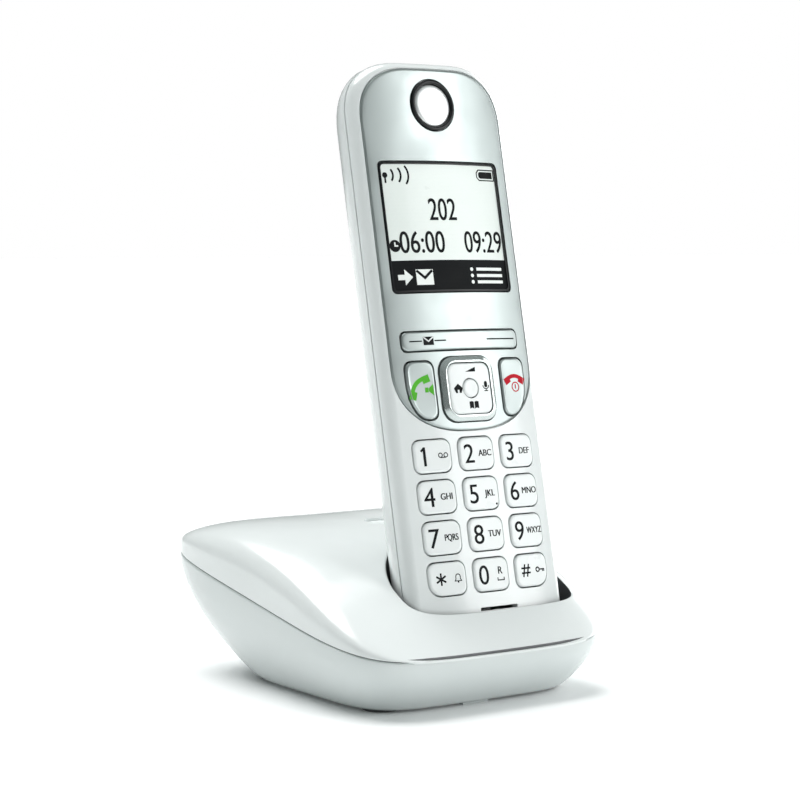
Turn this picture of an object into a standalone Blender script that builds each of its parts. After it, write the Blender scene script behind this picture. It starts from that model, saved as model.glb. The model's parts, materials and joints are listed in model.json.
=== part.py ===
"""Cordless telephone: a handset standing in its charging base.

World frame: metres, +Z up, the keypad faces -Y, the base stands on Z = 0.
Lengths below are millimetres and angles are degrees. Handset pieces are modelled in the
handset's own frame: X across, Y from the face towards the back, Z from the tip to the top.
"""
from math import cos, pi, radians, sin

import bmesh
import bpy
from mathutils import Vector

MM = 0.001

# Gaps and walls
SEAM_GAP = 0.3
KEY_GAP = 0.3
TOUCH = 0.3
BASE_WALL = 2.0
HANDSET_WALL = 1.6
SCREW_FIT = 0.15

# Rechargeable cells, which set the depth of the back
BATTERY_RADIUS = 5.25
BATTERY_LENGTH = 44.5
BATTERY_BOTTOM = 49.0
BATTERY_FRONT = 12.15
BATTERY_DEPTH = BATTERY_FRONT + BATTERY_RADIUS
BATTERY_BACK_ROOM = 5.35

# Handset body
HANDSET_LENGTH = 155.0
HANDSET_WIDTH = 48.8
FACE_CROWN = 1.6
WAIST_DEPTH = 7.0
BACK_DEPTH = BATTERY_DEPTH + BATTERY_RADIUS + BATTERY_BACK_ROOM
BACK_POWER = 1.6
BACK_FLAT = BACK_DEPTH - 1.0
PARTING = 9.0
TOP_CORNER = (16.0, 15.0)
TIP_CORNER = (11.0, 9.0)
BACK_TIP_LIFT = 10.0
BACK_TOP_DROP = 16.0

# Base: outline of the seam between its two shells
BASE_SIDE_ROOM = 17.25
BASE_WIDTH = HANDSET_WIDTH + 2 * BASE_SIDE_ROOM
BASE_DEPTH = 105.3
BASE_POWER = 5.15
SEAM_FRONT = 13.9
SEAM_REAR = 33.4
SEAM_SAG = 0.5

# Base: crown above the seam
CROWN_HEIGHT = 16.0
CROWN_POWER = 2.2
CROWN_FRONT = 1.2
CROWN_REAR = 0.85
CROWN_SIDE = 4.5

# Base: footprint under the seam
FOOT_SIDE_TAPER = 9.0
FOOT_WIDTH = BASE_WIDTH - 2 * FOOT_SIDE_TAPER
FOOT_DEPTH = 66.4
FOOT_POWER = 5.0
FOOT_FORWARD = 10.9
FOOT_TUCK = 1.8
FOOT_HEIGHT = 0.6
FOOT_ROUND = 1.0

# Where the handset stands in the base
LEAN = 12.0
TIP = (8.1, -40.7, 12.75)

# Cradle pocket in the base, around the handset's section
POCKET_FIT = 0.8
POCKET_SIDE = 2.4
POCKET_SHIFT = 1.3
POCKET_FLARE = 10.0
POCKET_FRONT = 0.9
POCKET_BACK = 0.8
POCKET_FLOOR = 0.3
POCKET_CORNER = 4.0
WELL_WALL = 1.4

# Silver faceplate let into the front cover
PLATE_WIDTH = 44.4
PLATE_BOTTOM = 56.6
PLATE_TOP = HANDSET_LENGTH - 2.4
PLATE_THICKNESS = 0.9
PLATE_CHIN = (21.2, 17.0)
PLATE_BROW = (15.0, 14.0)
FACE_WALL = 2.4

# Display
WINDOW_SIZE = (38.0, 34.6)
WINDOW_ABOVE_BAR = 10.25
WINDOW_THICKNESS = 1.9
LCD_MARGIN = 1.5
LCD_DEPTH = (4.1, 5.7)

# Keys
KEY_SIZE = (11.4, 8.9)
KEY_LAND = (2.15, 1.6)
KEY_PITCH = (KEY_SIZE[0] + KEY_LAND[0], KEY_SIZE[1] + KEY_LAND[1])
KEY_CORNER = 2.5
KEY_OUTER_CORNER = 4.2
KEY_ROW = 50.5
KEY_PROUD = 0.5
KEY_FOOT = 3.2
BAR_SIZE = (37.3, 5.1)
BAR_CENTRE = 80.3
WINDOW_CENTRE = BAR_CENTRE + BAR_SIZE[1] / 2 + WINDOW_ABOVE_BAR + WINDOW_SIZE[1] / 2
NAV_SIZE = 17.0
NAV_CORNER = 4.4
NAV_CENTRE = 67.4
SELECT_RADIUS = 2.4
NAV_FOOT = 3.0
NAV_ACTUATOR = (12.0, 3.3, 4.1)
CALL_SIZE = (10.4, 15.3)
CALL_CENTRE = (15.3, 67.5)
CALL_SWEEP = (7.6, 11.5)

# Earpiece
EAR_CENTRE = HANDSET_LENGTH - 12.0
EAR_RADIUS = 6.86
EAR_DISC = 5.6

# Inside the handset
MAT_DEPTH = (4.9, 5.7)
BOARD_DEPTH = (6.0, 7.2)
BOARD_WIDTH = 38.0
BOARD_SPAN = (11.0, 128.0)
MAT_WIDTH = 42.0
MAT_SPAN = (13.0, 88.0)
COVER_SPAN = (BATTERY_BOTTOM - 5.0, BATTERY_BOTTOM + BATTERY_LENGTH + 4.5)
COVER_WIDTH = 4 * BATTERY_RADIUS + 6.0
COVER_FRONT = 16.0
LOUDSPEAKER = (9.0, 112.0, 3.2)
HANDSET_SCREW = (12.0, HANDSET_LENGTH - 21.5)
HANDSET_SCREW_HEAD = 20.0
POST_SPLIT = 12.5
POST_RADIUS = 3.0
SCREW_HEAD = (2.2, 1.5)
SCREW_SHAFT = (1.1, 9.0)

# Charging contacts
CONTACT_X = 10.0
CONTACT_DEPTH = 6.4
PAD_SIZE = (5.0, 2.8, 1.5)
PIN_RADIUS = 1.2
PIN_FLANGE = 2.0

# Paging key behind the handset
PAGING_CENTRE = (8.1, 8.1)
PAGING_SIZE = (16.0, 5.4)
PAGING_SUNK = 0.35
PAGING_TRAVEL = 0.8
PAGING_FLANGE = 1.2
PAGING_FLANGE_THICKNESS = 0.9
PAGING_HEADROOM = 1.4

# Base electronics
BASE_BOARD = ((-24.0, 30.0), (1.0, 37.0), (30.4, 32.0))
SOCKET_WALL = 42.5
SOCKET_BAY = (-17.0, 21.0, 16.0, 30.0)
LINE_SOCKET = (11.0, 13.6, 11.0)
LINE_MOUTH = (10.0, 6.6)
POWER_SOCKET = (-7.5, 11.0, 11.0)
POWER_MOUTH = 3.2
SOCKET_DEPTH = 13.0
MOUTH_DEPTH = 9.0
BASE_SCREW = (24.0, -4.0)
BASE_BOSS = 3.4
FOOT_PAD_RADIUS = 5.0
FOOT_PAD_EDGE = (7.65, 9.2)
FRONT_TAB = (-5.5, 2.5, 5.0)

CROWN_LEVELS = (1.0, 0.98, 0.94, 0.87, 0.76, 0.62, 0.42)
HOLLOW_LEVELS = (1.0, 0.94, 0.82, 0.62, 0.35)
RING_STEPS = 48


# ---------------------------------------------------------------- scene and materials

def clear_scene():
    """Remove every object."""
    for old in list(bpy.data.objects):
        bpy.data.objects.remove(old, do_unlink=True)


def material(name, colour, roughness, metallic=0.0):
    """A plain Principled material."""
    made = bpy.data.materials.new(name)
    made.use_nodes = True
    shader = made.node_tree.nodes["Principled BSDF"]
    shader.inputs["Base Color"].default_value = (*colour, 1.0)
    shader.inputs["Roughness"].default_value = roughness
    shader.inputs["Metallic"].default_value = metallic
    made.diffuse_color = (*colour, 1.0)
    return made


def add_object(name, mesh_data, surface, parent=None, place=(0.0, 0.0, 0.0)):
    """Put a bmesh into the scene, turned outwards and shaded by its angles."""
    bmesh.ops.recalc_face_normals(mesh_data, faces=mesh_data.faces)
    mesh = bpy.data.meshes.new(name)
    mesh_data.to_mesh(mesh)
    mesh_data.free()
    mesh.shade_smooth()
    mesh.set_sharp_from_angle(angle=radians(35))
    if surface:
        mesh.materials.append(surface)
    made = bpy.data.objects.new(name, mesh)
    bpy.context.collection.objects.link(made)
    made.location = Vector(place) * MM
    made.parent = parent
    return made


def as_cutter(made):
    """Mark an object as a guide that is not a piece of the phone."""
    made.hide_render = True
    made.display_type = "WIRE"
    return made


def combine(target, other, operation):
    """Add an exact Boolean modifier."""
    step = target.modifiers.new(operation.title() + "_" + other.name, "BOOLEAN")
    step.operation = operation
    step.solver = "EXACT"
    step.object = other
    return step


# ---------------------------------------------------------------- mesh shapes

def ring_loft(rings):
    """A closed body through rings of points, with a fan over each end."""
    shape = bmesh.new()
    loops = [[shape.verts.new(Vector(point) * MM) for point in ring] for ring in rings]
    count = len(rings[0])
    for low, high in zip(loops, loops[1:]):
        for i in range(count):
            j = (i + 1) % count
            shape.faces.new((low[i], low[j], high[j], high[i]))
    for loop, ring in ((loops[0], rings[0]), (loops[-1], rings[-1])):
        middle = sum((Vector(point) for point in ring), Vector()) / count
        centre = shape.verts.new(middle * MM)
        for i in range(count):
            shape.faces.new((loop[i], loop[(i + 1) % count], centre))
    return shape


def box(low, high):
    """A box between two corners."""
    (x0, y0, z0), (x1, y1, z1) = low, high
    rings = [[(x0, y0, z), (x1, y0, z), (x1, y1, z), (x0, y1, z)] for z in (z0, z1)]
    shape = bmesh.new()
    lower, upper = [[shape.verts.new(Vector(point) * MM) for point in ring] for ring in rings]
    shape.faces.new(lower)
    shape.faces.new(upper)
    for i in range(4):
        j = (i + 1) % 4
        shape.faces.new((lower[i], lower[j], upper[j], upper[i]))
    return shape


def turned(profile, axis="Y", steps=20, centre=(0.0, 0.0, 0.0)):
    """A body turned about Y or Z from (radius, height) points."""
    rings = []
    for radius, height in profile:
        ring = []
        for i in range(steps):
            angle = 2 * pi * i / steps
            across, along = radius * cos(angle), radius * sin(angle)
            offset = (across, height, along) if axis == "Y" else (across, along, height)
            ring.append(tuple(c + o for c, o in zip(centre, offset)))
        rings.append(ring)
    return ring_loft(rings)


def merged(shapes):
    """Several separate bodies in one bmesh, for use as one cutter."""
    whole = bmesh.new()
    for shape in shapes:
        mesh = bpy.data.meshes.new("part")
        shape.to_mesh(mesh)
        shape.free()
        whole.from_mesh(mesh)
        bpy.data.meshes.remove(mesh)
    return whole


def corner_edge(distance, corner, power):
    """How far a rounded corner pulls the side in, at a distance from the outline's end."""
    reach_x, reach_z = corner
    if distance >= reach_z:
        return 0.0
    fraction = (reach_z - distance) / reach_z
    return reach_x * (1 - (1 - fraction ** power) ** (1 / power))


def outline_rows(length, half_width, corners, steps=4, power=2.2):
    """Rows (z, left, right) of an outline; corners are (x, z) reaches: bl, br, tl, tr."""
    heights = {0.0, length}
    for index, corner in enumerate(corners):
        for i in range(steps + 1):
            distance = corner[1] * (1 - cos(pi / 2 * i / steps))
            heights.add(round(distance if index < 2 else length - distance, 4))
    rows = []
    for z in sorted(heights):
        left = half_width - corner_edge(z, corners[0], power) - corner_edge(length - z, corners[2], power)
        right = half_width - corner_edge(z, corners[1], power) - corner_edge(length - z, corners[3], power)
        rows.append((z, left, right))
    return rows


def even_corners(reach):
    """Four equal round corners."""
    return [(reach, reach)] * 4


def face_bow(x):
    """Depth of the handset's barrel-shaped face below its middle line."""
    return FACE_CROWN * (x / (0.9 * HANDSET_WIDTH / 2)) ** 2


def pillow(rows, levels, columns=4, centre=(0.0, 0.0), bow=face_bow):
    """A plate-like closed body: an outline stepped through depth levels.

    A level is (depth, side inset, bottom inset, top inset, share of the face's bow).
    Points lie around the outline's middle line, at centre (x, lowest z).
    """
    length = rows[-1][0]
    half = max(max(left, right) for _, left, right in rows)
    start = bow(centre[0])

    def point(level, row, share):
        depth, side, lift, drop, bent = level
        z, left, right = row
        scale = (half - side) / half
        x = scale * (-left + (left + right) * share)
        height = lift + z * (length - lift - drop) / length
        return (x, depth + bent * (bow(centre[0] + x) - start), centre[1] + height)

    shares = [i / columns for i in range(columns + 1)]
    shape = bmesh.new()

    def grid(level):
        return [[shape.verts.new(Vector(point(level, row, s)) * MM) for s in shares] for row in rows]

    def border(cells):
        right = [line[-1] for line in cells[1:]]
        left = [line[0] for line in cells[-2:0:-1]]
        return cells[0] + right + cells[-1][-2::-1] + left

    def ring(level):
        low = [shape.verts.new(Vector(point(level, rows[0], s)) * MM) for s in shares]
        right = [shape.verts.new(Vector(point(level, row, 1.0)) * MM) for row in rows[1:]]
        high = [shape.verts.new(Vector(point(level, rows[-1], s)) * MM) for s in shares[-2::-1]]
        left = [shape.verts.new(Vector(point(level, row, 0.0)) * MM) for row in rows[-2:0:-1]]
        return low + right + high + left

    front = grid(levels[0])
    back = grid(levels[-1])
    for cells in (front, back):
        for low, high in zip(cells, cells[1:]):
            for i in range(columns):
                shape.faces.new((low[i], low[i + 1], high[i + 1], high[i]))
    loops = [border(front)] + [ring(level) for level in levels[1:-1]] + [border(back)]
    count = len(loops[0])
    for low, high in zip(loops, loops[1:]):
        for i in range(count):
            j = (i + 1) % count
            shape.faces.new((low[i], low[j], high[j], high[i]))
    return shape


def even(depth, inset, bent=1.0):
    """A pillow level drawn in by the same amount on every side."""
    return (depth, inset, inset, inset, bent)


def grown(rows, gap):
    """The same outline, larger by a gap on every side."""
    length = rows[-1][0]
    return [(z * (length + 2 * gap) / length, left + gap, right + gap) for z, left, right in rows]


# ---------------------------------------------------------------- base shapes

def superellipse(half_x, half_y, power, angle):
    """A point on a superellipse."""
    c, s = cos(angle), sin(angle)
    x = half_x * abs(c) ** (2 / power) * (1 if c >= 0 else -1)
    y = half_y * abs(s) ** (2 / power) * (1 if s >= 0 else -1)
    return x, y


def ring_angles():
    """Angles that space a superellipse's points evenly enough round its corners."""
    angles = []
    for i in range(RING_STEPS):
        turn = 2 * pi * i / RING_STEPS
        angles.append(turn - 0.21 * sin(4 * turn))
    return angles


def seam_height(x, y):
    """Height of the seam between the base's shells."""
    middle = (SEAM_FRONT + SEAM_REAR) / 2
    slope = (SEAM_REAR - SEAM_FRONT) / BASE_DEPTH
    return middle + slope * y + SEAM_SAG * (2 * x / BASE_WIDTH) ** 2


def crown_height(x, y):
    """Height of the base's top surface."""
    along = min(1.0, abs(2 * y / BASE_DEPTH))
    half = (BASE_WIDTH / 2) * (1 - along ** BASE_POWER) ** (1 / BASE_POWER)
    across = min(1.0, abs(x) / half) if half > 1e-6 else 1.0
    ease = CROWN_FRONT if y < 0 else CROWN_REAR
    rise = (1 - along ** CROWN_POWER) ** ease * (1 - across ** CROWN_SIDE) ** (1 / CROWN_SIDE)
    return seam_height(x, y) + CROWN_HEIGHT * rise


def crown_rings(inset, drop, levels=CROWN_LEVELS):
    """Rings of the base's crown, drawn in and lowered for its inner face."""
    scale_x = 1 - 2 * inset / BASE_WIDTH
    scale_y = 1 - 2 * inset / BASE_DEPTH
    rings = []
    for level in levels:
        ring = []
        for angle in ring_angles():
            x, y = superellipse(level * BASE_WIDTH / 2, level * BASE_DEPTH / 2, BASE_POWER, angle)
            ring.append((x * scale_x, y * scale_y, crown_height(x, y) - drop))
        rings.append(ring)
    return rings


def seam_ring(inset, offset):
    """A ring at the seam, moved up or down."""
    ring = []
    for x, y, _ in crown_rings(inset, 0.0, (1.0,))[0]:
        ring.append((x, y, seam_height(x, y) + offset))
    return ring


def tub_ring(part, inset, floor):
    """A ring of the lower shell; part runs from 0 at the seam to 1 at the floor."""
    ring = []
    pull = part ** FOOT_TUCK
    for angle in ring_angles():
        x0, y0 = superellipse(BASE_WIDTH / 2 - inset, BASE_DEPTH / 2 - inset, BASE_POWER, angle)
        x1, y1 = superellipse(FOOT_WIDTH / 2 - inset, FOOT_DEPTH / 2 - inset, FOOT_POWER, angle)
        top = seam_height(x0, y0) - SEAM_GAP / 2
        x = x0 + pull * (x1 - x0)
        y = y0 + pull * (y1 - FOOT_FORWARD - y0)
        ring.append((x, y, top + part * (floor - top)))
    return ring


def lean_point(x, y, z):
    """A point of the handset's frame, in the world."""
    turn = radians(LEAN)
    return (TIP[0] + x, TIP[1] + y * cos(turn) + z * sin(turn), TIP[2] - y * sin(turn) + z * cos(turn))


def section_loop(wall, height, steps=20):
    """The pocket's outline across the handset, at a height along it, in the world.

    It fits the handset's tip at the floor and flares, more to the right, towards its mouth.
    """
    flare = min(1.0, max(0.0, height / POCKET_FLARE))
    half = HANDSET_WIDTH / 2 + POCKET_FIT + flare * (POCKET_SIDE - POCKET_FIT) + wall
    front = WAIST_DEPTH + POCKET_FRONT + wall
    back = BACK_DEPTH - WAIST_DEPTH + POCKET_BACK + wall
    loop = []
    for i in range(2 * steps):
        angle = pi * i / steps
        power = BACK_POWER if sin(angle) > 0 else POCKET_CORNER
        depth = back if sin(angle) > 0 else front
        x, y = superellipse(half, depth, power, angle)
        loop.append(lean_point(flare * POCKET_SHIFT + x, WAIST_DEPTH + y, height))
    return loop


def pocket_shape(wall, floor, top=75.0):
    """The pocket, or the well around it."""
    foot = [section_loop(wall - inset, floor + rise) for inset, rise in ((1.2, 0.0), (0.3, 0.5), (0.0, 1.4))]
    return ring_loft(foot + [section_loop(wall, POCKET_FLARE), section_loop(wall, top)])


def paging_loop(grow, height):
    """A pill-shaped outline around the paging key."""
    radius = PAGING_SIZE[1] / 2 + grow
    reach = (PAGING_SIZE[0] - PAGING_SIZE[1]) / 2
    loop = []
    for i in range(20):
        angle = 2 * pi * (i + 0.5) / 20
        shift = reach if cos(angle) > 0 else -reach
        loop.append((PAGING_CENTRE[0] + shift + radius * cos(angle),
                     PAGING_CENTRE[1] + radius * sin(angle), height))
    return loop


def socket_bay():
    """The space cut for plugs in the back of the lower shell."""
    x0, x1, z0, z1 = SOCKET_BAY
    return (x0, SOCKET_WALL, z0), (x1, BASE_DEPTH / 2 + 5, z1)


# ---------------------------------------------------------------- base pieces

def base_fixings():
    """Positions of the base's two screws."""
    return ((-BASE_SCREW[0], BASE_SCREW[1]), (BASE_SCREW[0], BASE_SCREW[1]))


def screw_floor():
    """Height of the ledge that the base screws' heads sit under."""
    return FOOT_HEIGHT + BASE_WALL


def base_top(surface):
    """Upper shell with the well that the handset stands in."""
    outer = [seam_ring(0.0, SEAM_GAP / 2)] + crown_rings(0.0, 0.0)[1:]
    shell = add_object("base_top", ring_loft(outer), surface)
    inner = [seam_ring(BASE_WALL, -8.0)] + crown_rings(BASE_WALL, BASE_WALL, HOLLOW_LEVELS)[1:]
    hollow = as_cutter(add_object("cut_base_hollow", ring_loft(inner), None))
    combine(shell, hollow, "DIFFERENCE")

    well = as_cutter(add_object("cut_well", pocket_shape(WELL_WALL, -POCKET_FLOOR - WELL_WALL), None))
    reach = [[(x, y, 1.0) for x, y, _ in seam_ring(1.2, 0.0)]] + crown_rings(1.2, 0.8, HOLLOW_LEVELS)[1:]
    limit = as_cutter(add_object("cut_well_limit", ring_loft(reach), None))
    combine(well, limit, "INTERSECT")
    combine(shell, well, "UNION")

    for index, (x, y) in enumerate(base_fixings()):
        top = crown_height(x, y) - BASE_WALL / 2
        low = screw_floor() + TOUCH
        boss = turned([(BASE_BOSS, low), (BASE_BOSS, top)], "Z", 20, (x, y, 0.0))
        post = as_cutter(add_object("cut_boss_%d" % index, boss, None))
        combine(shell, post, "UNION")

    pin_hole = PIN_RADIUS + SCREW_FIT
    cuts = [pocket_shape(0.0, -POCKET_FLOOR)]
    for side in (-1, 1):
        rings = []
        for height in (-6.0, 2.0):
            rings.append([lean_point(side * CONTACT_X + pin_hole * cos(pi * i / 8),
                                     CONTACT_DEPTH + pin_hole * sin(pi * i / 8), height) for i in range(16)])
        cuts.append(ring_loft(rings))
    pocket = as_cutter(add_object("cut_pocket", merged(cuts[:1]), None))
    pins = as_cutter(add_object("cut_pins", merged(cuts[1:]), None))
    combine(shell, pocket, "DIFFERENCE")
    combine(shell, pins, "DIFFERENCE")

    bores = [ring_loft([paging_loop(KEY_GAP, 34.0), paging_loop(KEY_GAP, 50.0)])]
    for x, y in base_fixings():
        bore = SCREW_SHAFT[0] + SCREW_FIT
        low = screw_floor() - 1.0
        bores.append(turned([(bore, low), (bore, low + SCREW_SHAFT[1] + 3)], "Z", 16, (x, y, 0.0)))
    holes = as_cutter(add_object("cut_top_holes", merged(bores), None))
    combine(shell, holes, "DIFFERENCE")


def base_bottom(surface):
    """Lower shell with the plug bay, the screw holes and the foot recesses."""
    outer = [tub_ring(part / 7, 0.0, FOOT_HEIGHT) for part in range(7)]
    outer.append(tub_ring(0.96, 0.1, FOOT_HEIGHT))
    outer.append([(x, y, FOOT_HEIGHT) for x, y, _ in tub_ring(1.0, FOOT_ROUND, FOOT_HEIGHT)])
    shell = add_object("base_bottom", ring_loft(outer), surface)

    floor = FOOT_HEIGHT + BASE_WALL
    lip = [(x, y, z + 8.0) for x, y, z in tub_ring(0.0, BASE_WALL, floor)]
    inner = [lip] + [tub_ring(part / 4, BASE_WALL, floor) for part in range(4)]
    inner.append(tub_ring(1.0, BASE_WALL + FOOT_ROUND, floor))
    hollow = as_cutter(add_object("cut_tub_hollow", ring_loft(inner), None))

    low, high = socket_bay()
    jacket = box([low[0] - 2, low[1] - 2, low[2] - 2], [high[0] + 2, high[1], high[2] + 2])
    bay_jacket = as_cutter(add_object("cut_bay_jacket", jacket, None))
    combine(hollow, bay_jacket, "DIFFERENCE")
    combine(shell, hollow, "DIFFERENCE")
    bay = as_cutter(add_object("cut_bay", box(low, high), None))
    combine(shell, bay, "DIFFERENCE")

    wide, tall = LINE_MOUTH
    middle = socket_middle()
    holes = [box((LINE_SOCKET[0] - wide / 2, SOCKET_WALL - 4, middle - tall / 2),
                 (LINE_SOCKET[0] + wide / 2, SOCKET_WALL + 2, middle + tall / 2))]
    holes.append(turned([(POWER_MOUTH, SOCKET_WALL - 4), (POWER_MOUTH, SOCKET_WALL + 2)], "Y", 20,
                        (POWER_SOCKET[0], 0.0, middle)))
    for x, y in base_fixings():
        head, depth = SCREW_HEAD
        bore = SCREW_SHAFT[0] + SCREW_FIT
        steps = [(head + SCREW_FIT, -2.0), (head + SCREW_FIT, FOOT_HEIGHT + depth)]
        steps += [(bore, FOOT_HEIGHT + depth), (bore, floor + 2.0)]
        holes.append(turned(steps, "Z", 16, (x, y, 0.0)))
    for x, y in foot_places():
        radius = FOOT_PAD_RADIUS + SEAM_GAP
        holes.append(turned([(radius, -1.0), (radius, FOOT_HEIGHT + 1.0)], "Z", 24, (x, y, 0.0)))
    cuts = as_cutter(add_object("cut_tub_holes", merged(holes), None))
    combine(shell, cuts, "DIFFERENCE")

    left, right, deep = FRONT_TAB
    front = -FOOT_FORWARD - FOOT_DEPTH / 2 + FOOT_ROUND
    tab = box((left, front, 0.0), (right, front + deep, FOOT_HEIGHT + 0.5))
    combine(shell, as_cutter(add_object("cut_front_tab", tab, None)), "UNION")


def foot_places():
    """Centres of the four feet."""
    x = FOOT_WIDTH / 2 - FOOT_PAD_EDGE[0]
    y = FOOT_DEPTH / 2 - FOOT_PAD_EDGE[1]
    return [(side * x, end * y - FOOT_FORWARD) for end in (-1, 1) for side in (-1, 1)]


def feet(surface):
    """Four rubber feet."""
    for name, (x, y) in zip(("foot_front_left", "foot_front_right", "foot_rear_left", "foot_rear_right"),
                            foot_places()):
        radius = FOOT_PAD_RADIUS
        profile = [(radius - 0.4, 0.0), (radius, 0.3), (radius, FOOT_HEIGHT + 1.0 - TOUCH)]
        add_object(name, turned(profile, "Z", 18), surface, None, (x, y, 0.0))


def screw(name, surface, place, parent=None, axis="Z", turn=1):
    """A pan-head screw; its shaft runs along the axis, or against it when turn is -1."""
    head, depth = SCREW_HEAD
    shaft, length = SCREW_SHAFT
    profile = [(head - 0.3, 0.0), (head, 0.4), (head, depth - TOUCH), (shaft, depth - TOUCH),
               (shaft, depth + length), (shaft * 0.4, depth + length + 0.8)]
    profile = [(radius, turn * height) for radius, height in profile]
    return add_object(name, turned(profile, axis, 12), surface, parent, place)


def socket_middle():
    """Height of both sockets' mouths."""
    return BASE_BOARD[2][0] - TOUCH - LINE_SOCKET[2] / 2


def sockets(surface):
    """Line and power sockets that hang under the base board."""
    front = SOCKET_WALL - 2 - TOUCH - SOCKET_DEPTH
    back = SOCKET_WALL - 2 - TOUCH
    middle = socket_middle()
    for name, spec in (("line_socket", LINE_SOCKET), ("power_socket", POWER_SOCKET)):
        x, wide, tall = spec
        place = (x, back, middle)
        body = box((-wide / 2, front - back, -tall / 2), (wide / 2, 0.0, tall / 2))
        made = add_object(name, body, surface, None, place)
        if name == "line_socket":
            mouth = box((-LINE_MOUTH[0] / 2, -MOUTH_DEPTH, -LINE_MOUTH[1] / 2),
                        (LINE_MOUTH[0] / 2, 2.0, LINE_MOUTH[1] / 2))
        else:
            mouth = turned([(POWER_MOUTH, -MOUTH_DEPTH), (POWER_MOUTH, 2.0)], "Y", 20)
        combine(made, as_cutter(add_object("cut_" + name, mouth, None, None, place)), "DIFFERENCE")


def base_electronics(board_surface, dark):
    """Board, paging switch and sockets inside the base."""
    (x0, x1), (y0, y1), (z0, z1) = BASE_BOARD
    add_object("base_board", box((x0, y0, 0.0), (x1, y1, z1 - z0)), board_surface, None, (0.0, 0.0, z0))
    sockets(dark)
    x, y = PAGING_CENTRE
    low = z1 + TOUCH
    high = paging_foot() - PAGING_TRAVEL - TOUCH
    add_object("paging_switch", box((-3, -3, 0), (3, 3, high - low)), dark, None, (x, y, low))


def paging_foot():
    """Height of the paging key's underside at rest, clear of the shell over its flange."""
    lowest = min(crown_height(x, y) for x, y, _ in paging_loop(PAGING_FLANGE, 0.0))
    return lowest - BASE_WALL - PAGING_FLANGE_THICKNESS - PAGING_HEADROOM


def paging_key(surface):
    """Pill-shaped key with a flange under the shell."""
    x, y = PAGING_CENTRE
    top = crown_height(x, y) - PAGING_SUNK
    foot = paging_foot()
    ledge = foot + PAGING_FLANGE_THICKNESS
    loops = [(PAGING_FLANGE, foot), (PAGING_FLANGE, ledge), (0.0, ledge), (0.0, top - 0.4), (-0.4, top)]
    rings = []
    for grow, height in loops:
        rings.append([(px - x, py - y, pz - foot) for px, py, pz in paging_loop(grow, height)])
    add_object("paging_key", ring_loft(rings), surface, None, (x, y, foot))


def base_contacts(surface, parent):
    """Two sprung charging pins in the floor of the pocket."""
    tip = -TOUCH
    floor = -POCKET_FLOOR - WELL_WALL - TOUCH
    profile = [(PIN_FLANGE, floor - 1.0), (PIN_FLANGE, floor), (PIN_RADIUS, floor),
               (PIN_RADIUS, tip - 0.4), (PIN_RADIUS * 0.6, tip)]
    for name, side in (("base_contact_left", -1), ("base_contact_right", 1)):
        add_object(name, turned(profile, "Z", 16), surface, parent, (side * CONTACT_X, CONTACT_DEPTH, 0.0))


# ---------------------------------------------------------------- handset shapes

def body_rows():
    """Outline of the handset."""
    corners = [TIP_CORNER, TIP_CORNER, TOP_CORNER, TOP_CORNER]
    return outline_rows(HANDSET_LENGTH, HANDSET_WIDTH / 2, corners, 5, 2.3)


def back_half(depth):
    """Half width of the rounded back at a depth."""
    part = (depth - WAIST_DEPTH) / (BACK_DEPTH - WAIST_DEPTH)
    return (HANDSET_WIDTH / 2) * (1 - part ** BACK_POWER) ** (1 / BACK_POWER)


def back_level(depth, wall=0.0):
    """Level of the rounded back, or of its inner face."""
    inset = HANDSET_WIDTH / 2 - back_half(depth)
    share = 2 * inset / HANDSET_WIDTH
    side = min(inset + wall, HANDSET_WIDTH / 2 - 3.0)
    return (depth - wall * share, side, share * BACK_TIP_LIFT + wall, share * BACK_TOP_DROP + wall, 0.0)


def back_depths():
    """Depths that step round the back."""
    start = PARTING + SEAM_GAP / 2
    return [start + (BACK_FLAT - start) * (1 - (1 - i / 6) ** 1.4) for i in range(7)]


def front_solid():
    """Outer shape of the front cover."""
    rim = PARTING - SEAM_GAP / 2
    inset = HANDSET_WIDTH / 2 - back_half(rim)
    levels = [even(0.0, 2.6), even(0.35, 1.5, 0.9), even(1.2, 0.65, 0.8), even(2.6, 0.15, 0.6),
              even(4.4, 0.0, 0.3), (rim, inset, 0.2, 0.3, 0.0)]
    return pillow(body_rows(), levels, 6)


def key_specs():
    """Name, centre (x, z), outline rows and style of every key on the face."""
    specs = []
    names = ("key_1", "key_2", "key_3", "key_4", "key_5", "key_6", "key_7", "key_8", "key_9",
             "key_star", "key_0", "key_hash")
    for index, name in enumerate(names):
        row, column = divmod(index, 3)
        x = (column - 1) * KEY_PITCH[0]
        z = KEY_ROW - row * KEY_PITCH[1]
        corners = even_corners(KEY_CORNER)
        if row == 3 and column != 1:
            corners[column // 2] = (KEY_OUTER_CORNER, KEY_OUTER_CORNER)
        specs.append((name, (x, z), outline_rows(KEY_SIZE[1], KEY_SIZE[0] / 2, corners, 3)))
    for name, side in (("talk_key", -1), ("end_key", 1)):
        corners = even_corners(KEY_CORNER)
        corners[0 if side < 0 else 1] = CALL_SWEEP
        rows = outline_rows(CALL_SIZE[1], CALL_SIZE[0] / 2, corners, 4)
        specs.append((name, (side * CALL_CENTRE[0], CALL_CENTRE[1]), rows))
    bar = outline_rows(BAR_SIZE[1], BAR_SIZE[0] / 2, even_corners(1.8), 3)
    specs.append(("display_key_bar", (0.0, BAR_CENTRE), bar))
    nav = outline_rows(NAV_SIZE, NAV_SIZE / 2, even_corners(NAV_CORNER), 4)
    specs.append(("nav_key", (0.0, NAV_CENTRE), nav))
    return specs


def window_rows():
    """Outline of the display window."""
    return outline_rows(WINDOW_SIZE[1], WINDOW_SIZE[0] / 2, even_corners(1.6), 3)


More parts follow.
